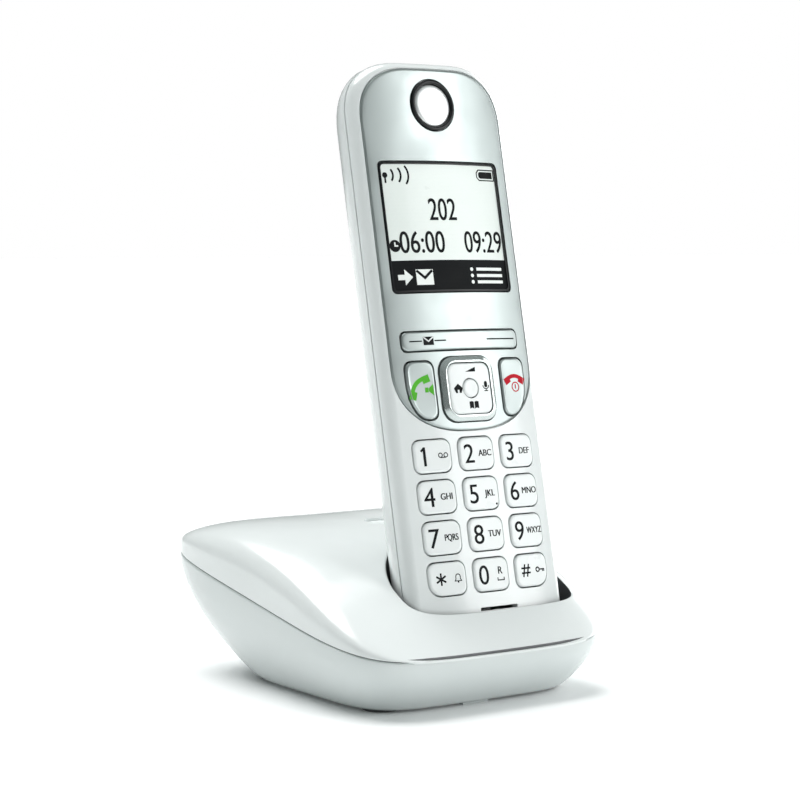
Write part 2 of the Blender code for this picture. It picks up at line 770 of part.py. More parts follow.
def hole_through(rows, centre, gap, front=-3.0, back=8.0):
    """A cutter for an outline centred on the face at (x, z)."""
    wide = grown(rows, gap)
    low = centre[1] - wide[-1][0] / 2
    shape = pillow(wide, [even(front, 0.0, 0.0), even(back, 0.0, 0.0)], 2)
    bmesh.ops.translate(shape, verts=shape.verts, vec=Vector((centre[0], 0.0, low)) * MM)
    return shape


def face_holes():
    """Cutters for every key and for the earpiece."""
    cuts = [hole_through(rows, centre, KEY_GAP) for _, centre, rows in key_specs()]
    radius = EAR_RADIUS + KEY_GAP
    cuts.append(turned([(radius, -3.0), (radius, 2.0)], "Y", 24, (0.0, 0.0, EAR_CENTRE)))
    return cuts


def plate_rows():
    """Outline of the silver faceplate."""
    corners = [PLATE_CHIN, PLATE_CHIN, PLATE_BROW, PLATE_BROW]
    return outline_rows(PLATE_TOP - PLATE_BOTTOM, PLATE_WIDTH / 2, corners, 5, 2.3)


# ---------------------------------------------------------------- handset pieces

def front_cover(surface, frame):
    """Front shell, with its faceplate recess and every opening in the face."""
    shell = add_object("front_cover", front_solid(), surface, frame)
    wall = HANDSET_WALL
    levels = [even(FACE_WALL, 2.6 + wall), even(FACE_WALL + 1.4, wall + 0.8, 0.7),
              even(FACE_WALL + 3.4, wall, 0.3), even(PARTING + 4.0, wall, 0.0)]
    hollow = as_cutter(add_object("cut_front_hollow", pillow(body_rows(), levels, 6), None, frame))
    combine(shell, hollow, "DIFFERENCE")

    recess = pillow(grown(plate_rows(), SEAM_GAP / 2), [even(-4.0, 0.0), even(PLATE_THICKNESS + 0.1, 0.0)], 6)
    bmesh.ops.translate(recess, verts=recess.verts, vec=Vector((0, 0, PLATE_BOTTOM - SEAM_GAP / 2)) * MM)
    cut = as_cutter(add_object("cut_plate_recess", recess, None, frame))
    combine(shell, cut, "DIFFERENCE")

    holes = face_holes()
    holes.append(hole_through(window_rows(), (0.0, WINDOW_CENTRE), KEY_GAP))
    across, thick, tall = PAD_SIZE
    for side in (-1, 1):
        low = (side * CONTACT_X - across / 2 - 0.2, CONTACT_DEPTH - thick / 2 - 0.2, -3.0)
        high = (side * CONTACT_X + across / 2 + 0.2, CONTACT_DEPTH + thick / 2 + 0.2, tall + 3.0)
        holes.append(box(low, high))
    cutter = as_cutter(add_object("cut_face_holes", merged(holes), None, frame))
    combine(shell, cutter, "DIFFERENCE")

    back = POST_SPLIT - TOUCH / 2
    posts = merged([handset_post(side, POST_RADIUS, FACE_WALL - 0.6, back) for side in (-1, 1)])
    combine(shell, as_cutter(add_object("cut_front_posts", posts, None, frame)), "UNION")
    bore = SCREW_SHAFT[0] + SCREW_FIT
    bores = merged([handset_post(side, bore, PARTING - 1.5, POST_SPLIT + 3) for side in (-1, 1)])
    combine(shell, as_cutter(add_object("cut_front_bores", bores, None, frame)), "DIFFERENCE")


def handset_post(side, radius, front, back):
    """A round post, or a bore, on the line of a handset screw."""
    x, z = HANDSET_SCREW
    return turned([(radius, front), (radius, back)], "Y", 14, (side * x, 0.0, z))


def faceplate(surface, frame):
    """Silver plate around the display and the function keys."""
    levels = [even(0.0, 0.5), even(0.15, 0.15), even(0.4, 0.0), even(PLATE_THICKNESS, 0.0)]
    plate = add_object("faceplate", pillow(plate_rows(), levels, 6), surface, frame, (0, 0, PLATE_BOTTOM))
    keys = [spec for spec in key_specs() if spec[1][1] > PLATE_BOTTOM]
    holes = [hole_through(rows, centre, KEY_GAP) for _, centre, rows in keys]
    holes.append(hole_through(window_rows(), (0.0, WINDOW_CENTRE), KEY_GAP))
    radius = EAR_RADIUS + KEY_GAP
    holes.append(turned([(radius, -3.0), (radius, 6.0)], "Y", 24, (0.0, 0.0, EAR_CENTRE)))
    cutter = as_cutter(add_object("cut_faceplate_holes", merged(holes), None, frame))
    combine(plate, cutter, "DIFFERENCE")


def display(window_surface, lcd_surface, frame):
    """Window lens and the display module under it."""
    levels = [even(0.05, 0.3), even(0.2, 0.0), even(WINDOW_THICKNESS, 0.0)]
    low = WINDOW_CENTRE - WINDOW_SIZE[1] / 2
    add_object("display_window", pillow(window_rows(), levels, 6), window_surface, frame, (0, 0, low))
    wide, tall = (size + 2 * LCD_MARGIN for size in WINDOW_SIZE)
    front, back = LCD_DEPTH
    body = box((-wide / 2, front, -tall / 2), (wide / 2, back, tall / 2))
    add_object("lcd_module", body, lcd_surface, frame, (0, 0, WINDOW_CENTRE))


def press_key(name, centre, rows, surface, frame, proud=KEY_PROUD, round_off=0.5, foot=KEY_FOOT):
    """One key cap, with its origin on the face at its centre."""
    x, z = centre
    levels = [even(-proud, round_off), even(-proud + 0.12, 0.3 * round_off), even(-proud + 0.4, 0.0),
              even(foot, 0.0, 0.0)]
    low = -rows[-1][0] / 2
    shape = pillow(rows, levels, 2 if rows[-1][1] < 8 else 6, (x, low))
    return add_object(name, shape, surface, frame, (x, face_bow(x), z))


def keys(white, silver, frame):
    """All pressing keys on the face."""
    for name, centre, rows in key_specs():
        if name == "nav_key":
            continue
        function_key = centre[1] > PLATE_BOTTOM
        press_key(name, centre, rows, silver if function_key else white, frame)
    rows = [spec[2] for spec in key_specs() if spec[0] == "nav_key"][0]
    nav = press_key("nav_key", (0.0, NAV_CENTRE), rows, white, frame, 0.9, 1.4, NAV_FOOT)
    radius = SELECT_RADIUS + KEY_GAP
    place = (0.0, 0.0, NAV_CENTRE)
    through = [(radius, -4.0), (radius, 8.0)]
    bore = as_cutter(add_object("cut_select", turned(through, "Y", 24), None, frame, place))
    combine(nav, bore, "DIFFERENCE")
    profile = [(SELECT_RADIUS - 0.3, -1.0), (SELECT_RADIUS, -0.7), (SELECT_RADIUS, KEY_FOOT)]
    add_object("select_key", turned(profile, "Y", 24), white, frame, place)
    side, front, back = NAV_ACTUATOR
    plate = box((-side / 2, front, -side / 2), (side / 2, back, side / 2))
    actuator = add_object("nav_actuator", plate, white, frame, place)
    bore = as_cutter(add_object("cut_actuator", turned(through, "Y", 16), None, frame, place))
    combine(actuator, bore, "DIFFERENCE")


def earpiece(dark, silver, frame):
    """Black ring, its disc and the speaker behind them."""
    place = (0.0, 0.0, EAR_CENTRE)
    inner = EAR_DISC + 0.2
    profile = [(EAR_RADIUS - 0.3, -0.35), (EAR_RADIUS, -0.05), (EAR_RADIUS, 1.7)]
    ring = add_object("earpiece_ring", turned(profile, "Y", 24), dark, frame, place)
    bore = as_cutter(add_object("cut_ear", turned([(inner, -3), (inner, 4)], "Y", 24), None, frame, place))
    combine(ring, bore, "DIFFERENCE")
    profile = [(EAR_DISC - 0.5, -0.15), (EAR_DISC, 0.1), (EAR_DISC, 1.7)]
    add_object("earpiece_disc", turned(profile, "Y", 24), silver, frame, place)
    speaker = [(6.0, 3.4), (7.0, 3.6), (7.0, 5.7)]
    add_object("earpiece_speaker", turned(speaker, "Y", 24), dark, frame, place)


def handset_inside(board_surface, rubber, dark, metal, frame):
    """Board, keypad mat, microphone, loudspeaker, batteries and their contacts."""
    low, high = BOARD_SPAN
    half = BOARD_WIDTH / 2
    board = box((-half, BOARD_DEPTH[0], 0.0), (half, BOARD_DEPTH[1], high - low))
    add_object("handset_board", board, board_surface, frame, (0, 0, low))
    low, high = MAT_SPAN
    half = MAT_WIDTH / 2
    mat = box((-half, MAT_DEPTH[0], 0.0), (half, MAT_DEPTH[1], high - low))
    add_object("keypad_mat", mat, rubber, frame, (0, 0, low))
    add_object("microphone", turned([(2.2, 3.6), (2.2, 5.2)], "Y", 16), dark, frame, (0, 0, 8.6))
    radius, height, thick = LOUDSPEAKER
    profile = [(radius, 0.0), (radius, thick * 0.6), (radius * 0.7, thick)]
    add_object("loudspeaker", turned(profile, "Y", 24), dark, frame, (0, 17.0, height))


def battery(name, x, surface, frame):
    """A round cell with its raised positive end at the top."""
    tip = BATTERY_LENGTH
    profile = [(BATTERY_RADIUS - 0.4, 0.0), (BATTERY_RADIUS, 0.4), (BATTERY_RADIUS, tip - 1.4),
               (BATTERY_RADIUS - 0.4, tip - 1.0), (1.9, tip - 1.0), (1.9, tip)]
    add_object(name, turned(profile, "Z", 20), surface, frame, (x, BATTERY_DEPTH, BATTERY_BOTTOM))


def batteries(surface, metal, frame):
    """Two cells side by side, between a sprung plate and a flat one."""
    spacing = BATTERY_RADIUS + TOUCH
    battery("battery_left", -spacing, surface, frame)
    battery("battery_right", spacing, surface, frame)
    half = 2 * BATTERY_RADIUS - 1
    for name, height in (("battery_spring_plate", BATTERY_BOTTOM - TOUCH - 0.8),
                         ("battery_end_plate", BATTERY_BOTTOM + BATTERY_LENGTH + TOUCH)):
        plate = box((-half, -3.5, 0.0), (half, 3.5, 0.8))
        add_object(name, plate, metal, frame, (0, BATTERY_DEPTH, height))


def cover_box(gap):
    """Block that parts the battery cover from the rear housing."""
    low, high = COVER_SPAN
    half = COVER_WIDTH / 2
    return box((-half - gap, COVER_FRONT, low - gap), (half + gap, BACK_DEPTH + 4, high + gap))


def rear_solid(wall=0.0):
    """Rounded back of the handset, or the hollow inside it."""
    levels = [back_level(depth, wall) for depth in back_depths()]
    if wall:
        first = levels[0]
        levels = [(first[0] - 6.0, *first[1:])] + levels
    return pillow(body_rows(), levels, 6)


def rear_housing(surface, frame):
    """Back shell with its screw posts and the opening for the battery cover."""
    shell = add_object("rear_housing", rear_solid(), surface, frame)
    hollow = as_cutter(add_object("cut_rear_hollow", rear_solid(HANDSET_WALL), None, frame))
    combine(shell, hollow, "DIFFERENCE")
    opening = as_cutter(add_object("cut_cover_opening", cover_box(SEAM_GAP), None, frame))
    combine(shell, opening, "DIFFERENCE")

    front = POST_SPLIT + TOUCH / 2
    posts = merged([handset_post(side, POST_RADIUS + 0.4, front, BACK_DEPTH) for side in (-1, 1)])
    post = as_cutter(add_object("cut_rear_posts", posts, None, frame))
    limit = as_cutter(add_object("cut_post_limit", rear_solid(0.3), None, frame))
    combine(post, limit, "INTERSECT")
    combine(shell, post, "UNION")
    head, depth = SCREW_HEAD
    seat = HANDSET_SCREW_HEAD - depth
    bore = SCREW_SHAFT[0] + SCREW_FIT
    cuts = []
    for side in (-1, 1):
        x, z = HANDSET_SCREW
        wide = head + SCREW_FIT
        profile = [(bore, POST_SPLIT - 2), (bore, seat), (wide, seat), (wide, BACK_DEPTH + 4)]
        cuts.append(turned(profile, "Y", 14, (side * x, 0.0, z)))
    combine(shell, as_cutter(add_object("cut_rear_bores", merged(cuts), None, frame)), "DIFFERENCE")


def battery_cover(surface, frame):
    """Lift-off cover, cut from the same rounded back."""
    skin = add_object("battery_cover", rear_solid(), surface, frame)
    hollow = as_cutter(add_object("cut_cover_hollow", rear_solid(HANDSET_WALL), None, frame))
    combine(skin, hollow, "DIFFERENCE")
    block = as_cutter(add_object("cut_cover_block", cover_box(0.0), None, frame))
    combine(skin, block, "INTERSECT")


def handset_contacts(surface, frame):
    """Two charging pads in the handset's tip."""
    across, thick, tall = PAD_SIZE
    pad = ((-across / 2, -thick / 2, 0.0), (across / 2, thick / 2, tall))
    for name, side in (("handset_contact_left", -1), ("handset_contact_right", 1)):
        add_object(name, box(*pad), surface, frame, (side * CONTACT_X, CONTACT_DEPTH, 0.0))


# ---------------------------------------------------------------- assembly

def build():
    """Model the whole telephone."""
    clear_scene()
    white = material("white_gloss", (0.86, 0.89, 0.88), 0.18)
    key_white = material("key_white", (0.84, 0.87, 0.86), 0.35)
    silver = material("silver_satin", (0.62, 0.66, 0.66), 0.3, 0.7)
    clear = material("window", (0.72, 0.78, 0.74), 0.05)
    black = material("black_plastic", (0.02, 0.02, 0.022), 0.35)
    rubber = material("rubber", (0.6, 0.62, 0.62), 0.8)
    board = material("circuit_board", (0.03, 0.2, 0.08), 0.5)
    metal = material("plated_metal", (0.75, 0.72, 0.62), 0.25, 1.0)
    cell = material("battery_sleeve", (0.1, 0.35, 0.2), 0.4)

    frame = bpy.data.objects.new("handset_frame", None)
    bpy.context.collection.objects.link(frame)
    frame.location = Vector(TIP) * MM
    frame.rotation_euler = (-radians(LEAN), 0.0, 0.0)

    base_top(white)
    base_bottom(white)
    base_electronics(board, black)
    paging_key(white)
    base_contacts(metal, frame)
    feet(rubber)
    for name, (x, y) in zip(("base_screw_left", "base_screw_right"), base_fixings()):
        screw(name, metal, (x, y, FOOT_HEIGHT))

    front_cover(white, frame)
    faceplate(silver, frame)
    display(clear, black, frame)
    keys(key_white, silver, frame)
    earpiece(black, silver, frame)
    handset_inside(board, rubber, black, metal, frame)
    batteries(cell, metal, frame)
    rear_housing(white, frame)
    battery_cover(white, frame)
    handset_contacts(metal, frame)
    x, z = HANDSET_SCREW
    for name, side in (("handset_screw_left", -1), ("handset_screw_right", 1)):
        screw(name, metal, (side * x, HANDSET_SCREW_HEAD, z), frame, "Y", -1)


build()
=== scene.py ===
"""Looks of a cordless telephone that stands in its charging base.

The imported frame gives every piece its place. Lengths below are millimetres and angles are
degrees. Handset pieces are made in the handset's own frame: X across, Y from the face
towards the back, Z from the tip to the top. Base pieces are made in the world frame.
"""
import json
from math import atan2, cos, pi, radians, sin

import bmesh
import bpy
import numpy as np
from mathutils import Matrix, Vector


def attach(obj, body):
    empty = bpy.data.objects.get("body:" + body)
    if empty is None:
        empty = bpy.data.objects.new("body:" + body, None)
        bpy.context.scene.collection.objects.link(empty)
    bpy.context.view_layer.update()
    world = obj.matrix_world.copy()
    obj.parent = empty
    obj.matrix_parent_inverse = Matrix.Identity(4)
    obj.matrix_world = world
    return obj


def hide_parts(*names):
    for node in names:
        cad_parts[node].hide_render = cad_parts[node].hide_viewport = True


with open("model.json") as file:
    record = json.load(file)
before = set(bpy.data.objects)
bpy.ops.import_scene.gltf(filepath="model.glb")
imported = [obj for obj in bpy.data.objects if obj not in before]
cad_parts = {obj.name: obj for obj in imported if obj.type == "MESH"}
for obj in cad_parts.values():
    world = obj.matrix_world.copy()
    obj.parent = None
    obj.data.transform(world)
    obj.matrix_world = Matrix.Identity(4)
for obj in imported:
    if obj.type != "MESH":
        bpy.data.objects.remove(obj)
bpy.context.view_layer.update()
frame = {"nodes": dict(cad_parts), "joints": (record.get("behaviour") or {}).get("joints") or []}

MM = 0.001

# Handset shape, as the frame has it
FACE_CROWN = 1.6
PARTING = 5.8
WAIST_DEPTH = 7.0
BACK_DEPTH = 28.0
BACK_POWER = 1.6
BACK_TIP_LIFT = 10.0
BACK_TOP_DROP = 16.0
HANDSET_WALL = 1.6
TIP_CORNER = (11.0, 9.0)
TOP_CORNER = (16.0, 15.0)
FACE_ROUND = (2.6, 4.4)
CORNER_POWER = 2.3

# Base shape, as the frame has it
BASE_POWER = 5.15
SEAM_FRONT = 13.9
SEAM_REAR = 33.4
SEAM_SAG = 0.5
CROWN_HEIGHT = 16.0
CROWN_POWER = 2.2
CROWN_FRONT = 1.2
CROWN_REAR = 0.85
CROWN_SIDE = 4.5
FOOT_WIDTH = 65.3
FOOT_DEPTH = 66.4
FOOT_POWER = 5.0
FOOT_FORWARD = 10.9
FOOT_TUCK = 1.8
FOOT_HEIGHT = 0.6
POCKET_FIT = 0.8
POCKET_SIDE = 2.4
POCKET_SHIFT = 1.3
POCKET_FLARE = 10.0
POCKET_FRONT = 0.9
POCKET_BACK = 0.8
POCKET_FLOOR = 0.3
POCKET_CORNER = 4.0
POCKET_MIDDLE = (9.4, -26.0)
LIP_ROUND = 0.9
# How far the pocket's painted shade reaches past the pocket's outline
POCKET_SHADE_EDGE = 0.12
SHELL_WALL = 0.8
SEAM_GAP = 0.3
BASE_SEAM = 0.38
KEY_GAP = 0.3
CAP_EASE = 0.12
NUMBER_GAP = 0.1
NUMBER_EASE = 0.25

# Keys and printing
KEY_CORNER = 2.5
KEY_OUTER_CORNER = 4.2
CALL_SWEEP = (6.2, 10.5)
CALL_TRIM = {"talk_key": (1.9, 0.0), "end_key": (1.1, 0.9)}
KEY_PROUD = 0.5
KEY_DISH = 0.12
PRINT_PROUD = 0.03
PRINT_SUNK = 0.06

# Camera
CAMERA_PLACE = (-338.17, -489.57, 117.27)
CAMERA_AZIMUTH = -35.05
CAMERA_ELEVATION = 4.11
CAMERA_LENS = 100.31


# ---------------------------------------------------------------- frames of reference

def handset_frame():
    """Matrix from handset millimetres to the world, read from the lift joint and the cover."""
    lift = next(joint for joint in frame["joints"] if joint["name"] == "handset_lift")
    along = Vector(lift["axis"]).normalized()
    across = Vector((1.0, 0.0, 0.0))
    turn = Matrix((across, along.cross(across), along)).transposed()
    points = [turn.transposed() @ v.co for v in frame["nodes"]["front_cover"].data.vertices]
    middle = (min(p.x for p in points) + max(p.x for p in points)) / 2
    tip = turn @ Vector((middle, min(p.y for p in points), min(p.z for p in points)))
    return Matrix.Translation(tip) @ turn.to_4x4() @ Matrix.Scale(MM, 4)


PHONE = handset_frame()
ROOM = Matrix.Scale(MM, 4)


def node_box(node, space=PHONE):
    """Lowest and highest corner of a node, in a frame's millimetres."""
    back = space.inverted()
    points = [back @ v.co for v in frame["nodes"][node].data.vertices]
    low = Vector(min(p[i] for p in points) for i in range(3))
    high = Vector(max(p[i] for p in points) for i in range(3))
    return low, high


def node_middle(node, space=PHONE):
    """Middle of a node's box."""
    low, high = node_box(node, space)
    return (low + high) / 2


def node_size(node, space=PHONE):
    """Size of a node's box."""
    low, high = node_box(node, space)
    return high - low


HANDSET_LENGTH = node_size("front_cover").z
HANDSET_WIDTH = node_size("front_cover").x
BASE_WIDTH = node_size("base_top", ROOM).x
BASE_DEPTH = node_size("base_top", ROOM).y


# ---------------------------------------------------------------- mesh tools

def linked(made):
    """An object, put in the scene."""
    bpy.context.scene.collection.objects.link(made)
    return made


def solidified(shape, name="scratch"):
    """A mesh made from a bmesh, which is used up."""
    mesh = bpy.data.meshes.new(name)
    shape.to_mesh(mesh)
    shape.free()
    return mesh


def scratch(shape):
    """An object that holds a shape while a modifier works on it."""
    return linked(bpy.data.objects.new("scratch", solidified(shape)))


def worked(made):
    """The shape of an object with its modifiers done; the object is removed."""
    bpy.context.view_layer.update()
    done = bmesh.new()
    done.from_object(made, bpy.context.evaluated_depsgraph_get())
    mesh = made.data
    bpy.data.objects.remove(made)
    bpy.data.meshes.remove(mesh)
    return done


def carved(shape, cutter, operation="DIFFERENCE"):
    """A shape with another cut from it, joined to it, or kept inside it."""
    bmesh.ops.recalc_face_normals(shape, faces=shape.faces)
    bmesh.ops.recalc_face_normals(cutter, faces=cutter.faces)
    target, tool = scratch(shape), scratch(cutter)
    step = target.modifiers.new("step", "BOOLEAN")
    step.operation = operation
    step.solver = "EXACT"
    step.object = tool
    done = worked(target)
    worked(tool).free()
    return done


def merged(shapes):
    """Several bodies in one bmesh."""
    whole = bmesh.new()
    for shape in shapes:
        mesh = solidified(shape)
        whole.from_mesh(mesh)
        bpy.data.meshes.remove(mesh)
    return whole


def piece(name, shape, surface, body, stands_for=(), space=PHONE, sharp=38.0):
    """Put a shape made in millimetres into the scene, and tie it to its body."""
    bmesh.ops.transform(shape, matrix=space, verts=shape.verts)
    bmesh.ops.recalc_face_normals(shape, faces=shape.faces)
    mesh = solidified(shape, name)
    mesh.shade_smooth()
    mesh.set_sharp_from_angle(angle=radians(sharp))
    mesh.materials.clear()
    mesh.materials.append(surface)
    made = linked(bpy.data.objects.new(name, mesh))
    shading = made.modifiers.new("shading", "WEIGHTED_NORMAL")
    shading.keep_sharp = True
    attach(made, body)
    if stands_for:
        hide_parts(*stands_for)
    return made


def bridge(shape, low, high):
    """Quads between two closed loops of vertices."""
    count = len(low)
    for i in range(count):
        j = (i + 1) % count
        shape.faces.new((low[i], low[j], high[j], high[i]))


def fan(shape, loop):
    """Close a loop of vertices with a fan."""
    middle = sum((v.co for v in loop), Vector()) / len(loop)
    centre = shape.verts.new(middle)
    for i in range(len(loop)):
        shape.faces.new((loop[i], loop[(i + 1) % len(loop)], centre))


def ring_loft(rings, closed=True):
    """A body through rings of points."""
    shape = bmesh.new()
    loops = [[shape.verts.new(point) for point in ring] for ring in rings]
    for low, high in zip(loops, loops[1:]):
        bridge(shape, low, high)
    if closed:
        fan(shape, loops[0])
        fan(shape, loops[-1])
    return shape


def tube(loops):
    """A closed band through loops, joined back to the first."""
    shape = bmesh.new()
    rings = [[shape.verts.new(point) for point in loop] for loop in loops]
    for near, far in zip(rings, rings[1:] + rings[:1]):
        bridge(shape, near, far)
    return shape


def box(low, high):
    """A box between two corners."""
    (x0, y0, z0), (x1, y1, z1) = low, high
    return ring_loft([[(x0, y0, z), (x1, y0, z), (x1, y1, z), (x0, y1, z)] for z in (z0, z1)])


def turned(profile, axis="Y", steps=48, centre=(0.0, 0.0, 0.0)):
    """A body turned about an axis from (radius, height) points."""
    order = {"X": (1, 0, 2), "Y": (0, 1, 2), "Z": (0, 2, 1)}[axis]
    rings = []
    for radius, height in profile:
        ring = []
        for step in range(steps):
            angle = 2 * pi * step / steps
            offset = (radius * cos(angle), height, radius * sin(angle))
            ring.append(Vector(centre) + Vector(offset[i] for i in order))
        rings.append(ring)
    return ring_loft(rings)


def corner_edge(distance, corner, power):
    """How far a rounded corner pulls the side in, at a distance from the outline's end."""
    reach_x, reach_z = corner
    if distance >= reach_z:
        return 0.0
    fraction = min(1.0, (reach_z - distance) / reach_z)
    return reach_x * (1 - (1 - fraction ** power) ** (1 / power))


def outline_rows(length, half_width, corners, steps=9, power=2.2, spacing=4.0):
    """Rows (z, left, right) of an outline; corners are (x, z) reaches: bl, br, tl, tr."""
    heights = {0.0, length}
    for index, corner in enumerate(corners):
        for i in range(steps + 1):
            distance = corner[1] * (1 - cos(pi / 2 * i / steps))
            heights.add(round(distance if index < 2 else length - distance, 3))
    count = max(1, round(length / spacing))
    for i in range(1, count):
        z = round(length * i / count, 3)
        if min(abs(z - other) for other in heights) > spacing / 3:
            heights.add(z)
    rows = []
    for z in sorted(heights):
        left = half_width - corner_edge(z, corners[0], power) - corner_edge(length - z, corners[2], power)
        right = half_width - corner_edge(z, corners[1], power) - corner_edge(length - z, corners[3], power)
        rows.append((z, left, right))
    return rows


def face_bow(x):
    """Depth of the handset's barrel-shaped face below its middle line."""
    return FACE_CROWN * (x / (0.9 * HANDSET_WIDTH / 2)) ** 2


def pillow(rows, levels, columns=12, centre=(0.0, 0.0)):
    """A plate-like closed body: an outline stepped through depth levels.

    A level is (depth, side inset, bottom inset, top inset, share of the face's bow).
    Points lie around the outline's middle line, at centre (x, lowest z).
    """
    length = rows[-1][0]
    half = max(max(left, right) for _, left, right in rows)

    def point(level, row, share):
        depth, side, lift, drop, bent = level
        z, left, right = row
        scale = (half - side) / half
        x = centre[0] + scale * (-left + (left + right) * share)
        height = lift + z * (length - lift - drop) / length
        return x, depth + bent * face_bow(x), centre[1] + height

    shares = [i / columns for i in range(columns + 1)]
    shape = bmesh.new()

    def grid(level):
        return [[shape.verts.new(point(level, row, s)) for s in shares] for row in rows]

    def border(cells):
        right = [line[-1] for line in cells[1:]]
        left = [line[0] for line in cells[-2:0:-1]]
        return cells[0] + right + cells[-1][-2::-1] + left

    def ring(level):
        low = [shape.verts.new(point(level, rows[0], s)) for s in shares]
        right = [shape.verts.new(point(level, row, 1.0)) for row in rows[1:]]
        high = [shape.verts.new(point(level, rows[-1], s)) for s in shares[-2::-1]]
        left = [shape.verts.new(point(level, row, 0.0)) for row in rows[-2:0:-1]]
        return low + right + high + left

    front = grid(levels[0])
    back = grid(levels[-1])
    for cells in (front, back):
        for low, high in zip(cells, cells[1:]):
            for i in range(columns):
                shape.faces.new((low[i], low[i + 1], high[i + 1], high[i]))
    loops = [border(front)] + [ring(level) for level in levels[1:-1]] + [border(back)]
    for low, high in zip(loops, loops[1:]):
        bridge(shape, low, high)
    return shape


def even(depth, inset, bent=1.0):
    """A pillow level drawn in by the same amount on every side."""
    return (depth, inset, inset, inset, bent)


def rounded_levels(front, reach, drop, foot):
    """Levels of a plate whose front edge is a quarter ellipse."""
    levels = []
    for i in range(7):
        angle = pi / 2 * i / 6
        levels.append(even(front + drop * (1 - cos(angle)), reach * (1 - sin(angle))))
    levels.append(even(foot, 0.0))
    return levels


def grown(rows, gap):
    """The same outline, larger by a gap on every side."""
    length = rows[-1][0]
    return [(z * (length + 2 * gap) / length, left + gap, right + gap) for z, left, right in rows]


HOLE_DEPTHS = (-3.0, 8.0)


def hole_through(rows, centre, gap):
    """A cutter for an outline centred on the face at (x, z)."""
    wide = grown(rows, gap)
    low = centre[1] - wide[-1][0] / 2
    return pillow(wide, [even(depth, 0.0, 0.0) for depth in HOLE_DEPTHS], 2, (centre[0], low))


# ---------------------------------------------------------------- surface finishes

def set_inputs(node, **values):
    """Set a node's inputs; spaces in their names are underscores here."""
    for name, value in values.items():
        node.inputs[name.replace("_", " ")].default_value = value
    return node


def add_node(tree, kind, **values):
    """A new shader node with some of its inputs set."""
    return set_inputs(tree.nodes.new("ShaderNode" + kind), **values)


def opened(made):
    """A material's node tree, its shader and its place in object space."""
    tree = made.node_tree
    place = next(node for node in tree.nodes if node.bl_idname == "ShaderNodeTexCoord")
    return tree, tree.nodes["Principled BSDF"], place.outputs["Object"]


def mapped(tree, place, **values):
    """A place moved, turned or scaled by a mapping node."""
    step = add_node(tree, "Mapping", **values)
    tree.links.new(place, step.inputs["Vector"])
    return step.outputs["Vector"]


def link_noise(tree, place, scale, detail, stretch=None):
    """A noise texture; stretch draws it out along an axis."""
    noise = add_node(tree, "TexNoise", Scale=scale, Detail=detail)
    tree.links.new(mapped(tree, place, Scale=stretch) if stretch else place, noise.inputs["Vector"])
    return noise.outputs["Fac"]


def link_ramp(tree, value, stops):
    """A colour ramp over a value."""
    ramp = add_node(tree, "ValToRGB")
    marks = ramp.color_ramp.elements
    for index in (0, -1):
        position, colour = stops[index]
        marks[index].position = position
        marks[index].color = (*colour, 1.0)
    for position, colour in stops[1:-1]:
        marks.new(position).color = (*colour, 1.0)
    tree.links.new(value, ramp.inputs["Fac"])
    return ramp.outputs["Color"]


def link_range(tree, value, low, high, start=0.3, end=0.7):
    """A value mapped from its usual spread to a range."""
    step = add_node(tree, "MapRange", From_Min=start, From_Max=end, To_Min=low, To_Max=high)
    tree.links.new(value, step.inputs["Value"])
    return step.outputs["Result"]


COAT_ROUGHNESS = 0.06


def shaded(colour, factor):
    """A colour made lighter or darker."""
    return tuple(min(1.0, channel * factor) for channel in colour)


def finish(name, colour, roughness, metallic=0.0, vary=0.03, patch=40.0, grain=2500.0, relief=0.01,
           coat=0.0, stretch=None, specular=0.5):
    """A moulded or coated surface: patchy colour, uneven gloss and a fine relief."""
    made = bpy.data.materials.new(name)
    made.use_nodes = True
    add_node(made.node_tree, "TexCoord")
    tree, shader, place = opened(made)
    patches = link_noise(tree, place, patch, 4.0, stretch)
    stops = [(0.3, shaded(colour, 1 - vary)), (0.7, shaded(colour, 1 + vary))]
    tree.links.new(link_ramp(tree, patches, stops), shader.inputs["Base Color"])
    smudge = link_noise(tree, place, patch * 2.3, 5.0)
    gloss = link_range(tree, smudge, roughness * 0.85, roughness * 1.2)
    tree.links.new(gloss, shader.inputs["Roughness"])
    bump = add_node(tree, "Bump", Strength=1.0, Distance=relief * MM)
    tree.links.new(link_noise(tree, place, grain, 2.0, stretch), bump.inputs["Height"])
    tree.links.new(bump.outputs["Normal"], shader.inputs["Normal"])
    set_inputs(shader, Metallic=metallic, Coat_Weight=coat, Coat_Roughness=COAT_ROUGHNESS,
               Specular_IOR_Level=specular)
    return made


def dot_grid(name, colour, line, pitch, roughness, coat, specular=0.5):
    """A display surface with its fine grid of picture elements."""
    made = finish(name, colour, roughness, vary=0.02, patch=25.0, relief=0.0, coat=coat, specular=specular)
    tree, shader, place = opened(made)
    cells = add_node(tree, "TexBrick", Scale=1.0, Brick_Width=pitch * MM, Row_Height=pitch * MM,
                     Mortar_Size=pitch * MM * 0.06, Mortar_Smooth=0.3, Color1=(*colour, 1.0),
                     Color2=(*shaded(colour, 0.99), 1.0), Mortar=(*line, 1.0))
    cells.offset = 0.0
    tree.links.new(mapped(tree, place, Rotation=(-pi / 2, 0.0, 0.0)), cells.inputs["Vector"])
    tree.links.new(cells.outputs["Color"], shader.inputs["Base Color"])
    return made


def board_finish(name):
    """Green solder mask over copper traces."""
    made = finish(name, (0.02, 0.16, 0.06), 0.35, vary=0.1, coat=0.4)
    tree, shader, place = opened(made)
    cells = add_node(tree, "TexVoronoi", Scale=260.0)
    cells.distance = "MANHATTAN"
    tree.links.new(place, cells.inputs["Vector"])
    stops = [(0.35, (0.03, 0.2, 0.08)), (0.45, (0.06, 0.32, 0.12)), (0.5, (0.02, 0.15, 0.06))]
    tree.links.new(link_ramp(tree, cells.outputs["Distance"], stops), shader.inputs["Base Color"])
    return made


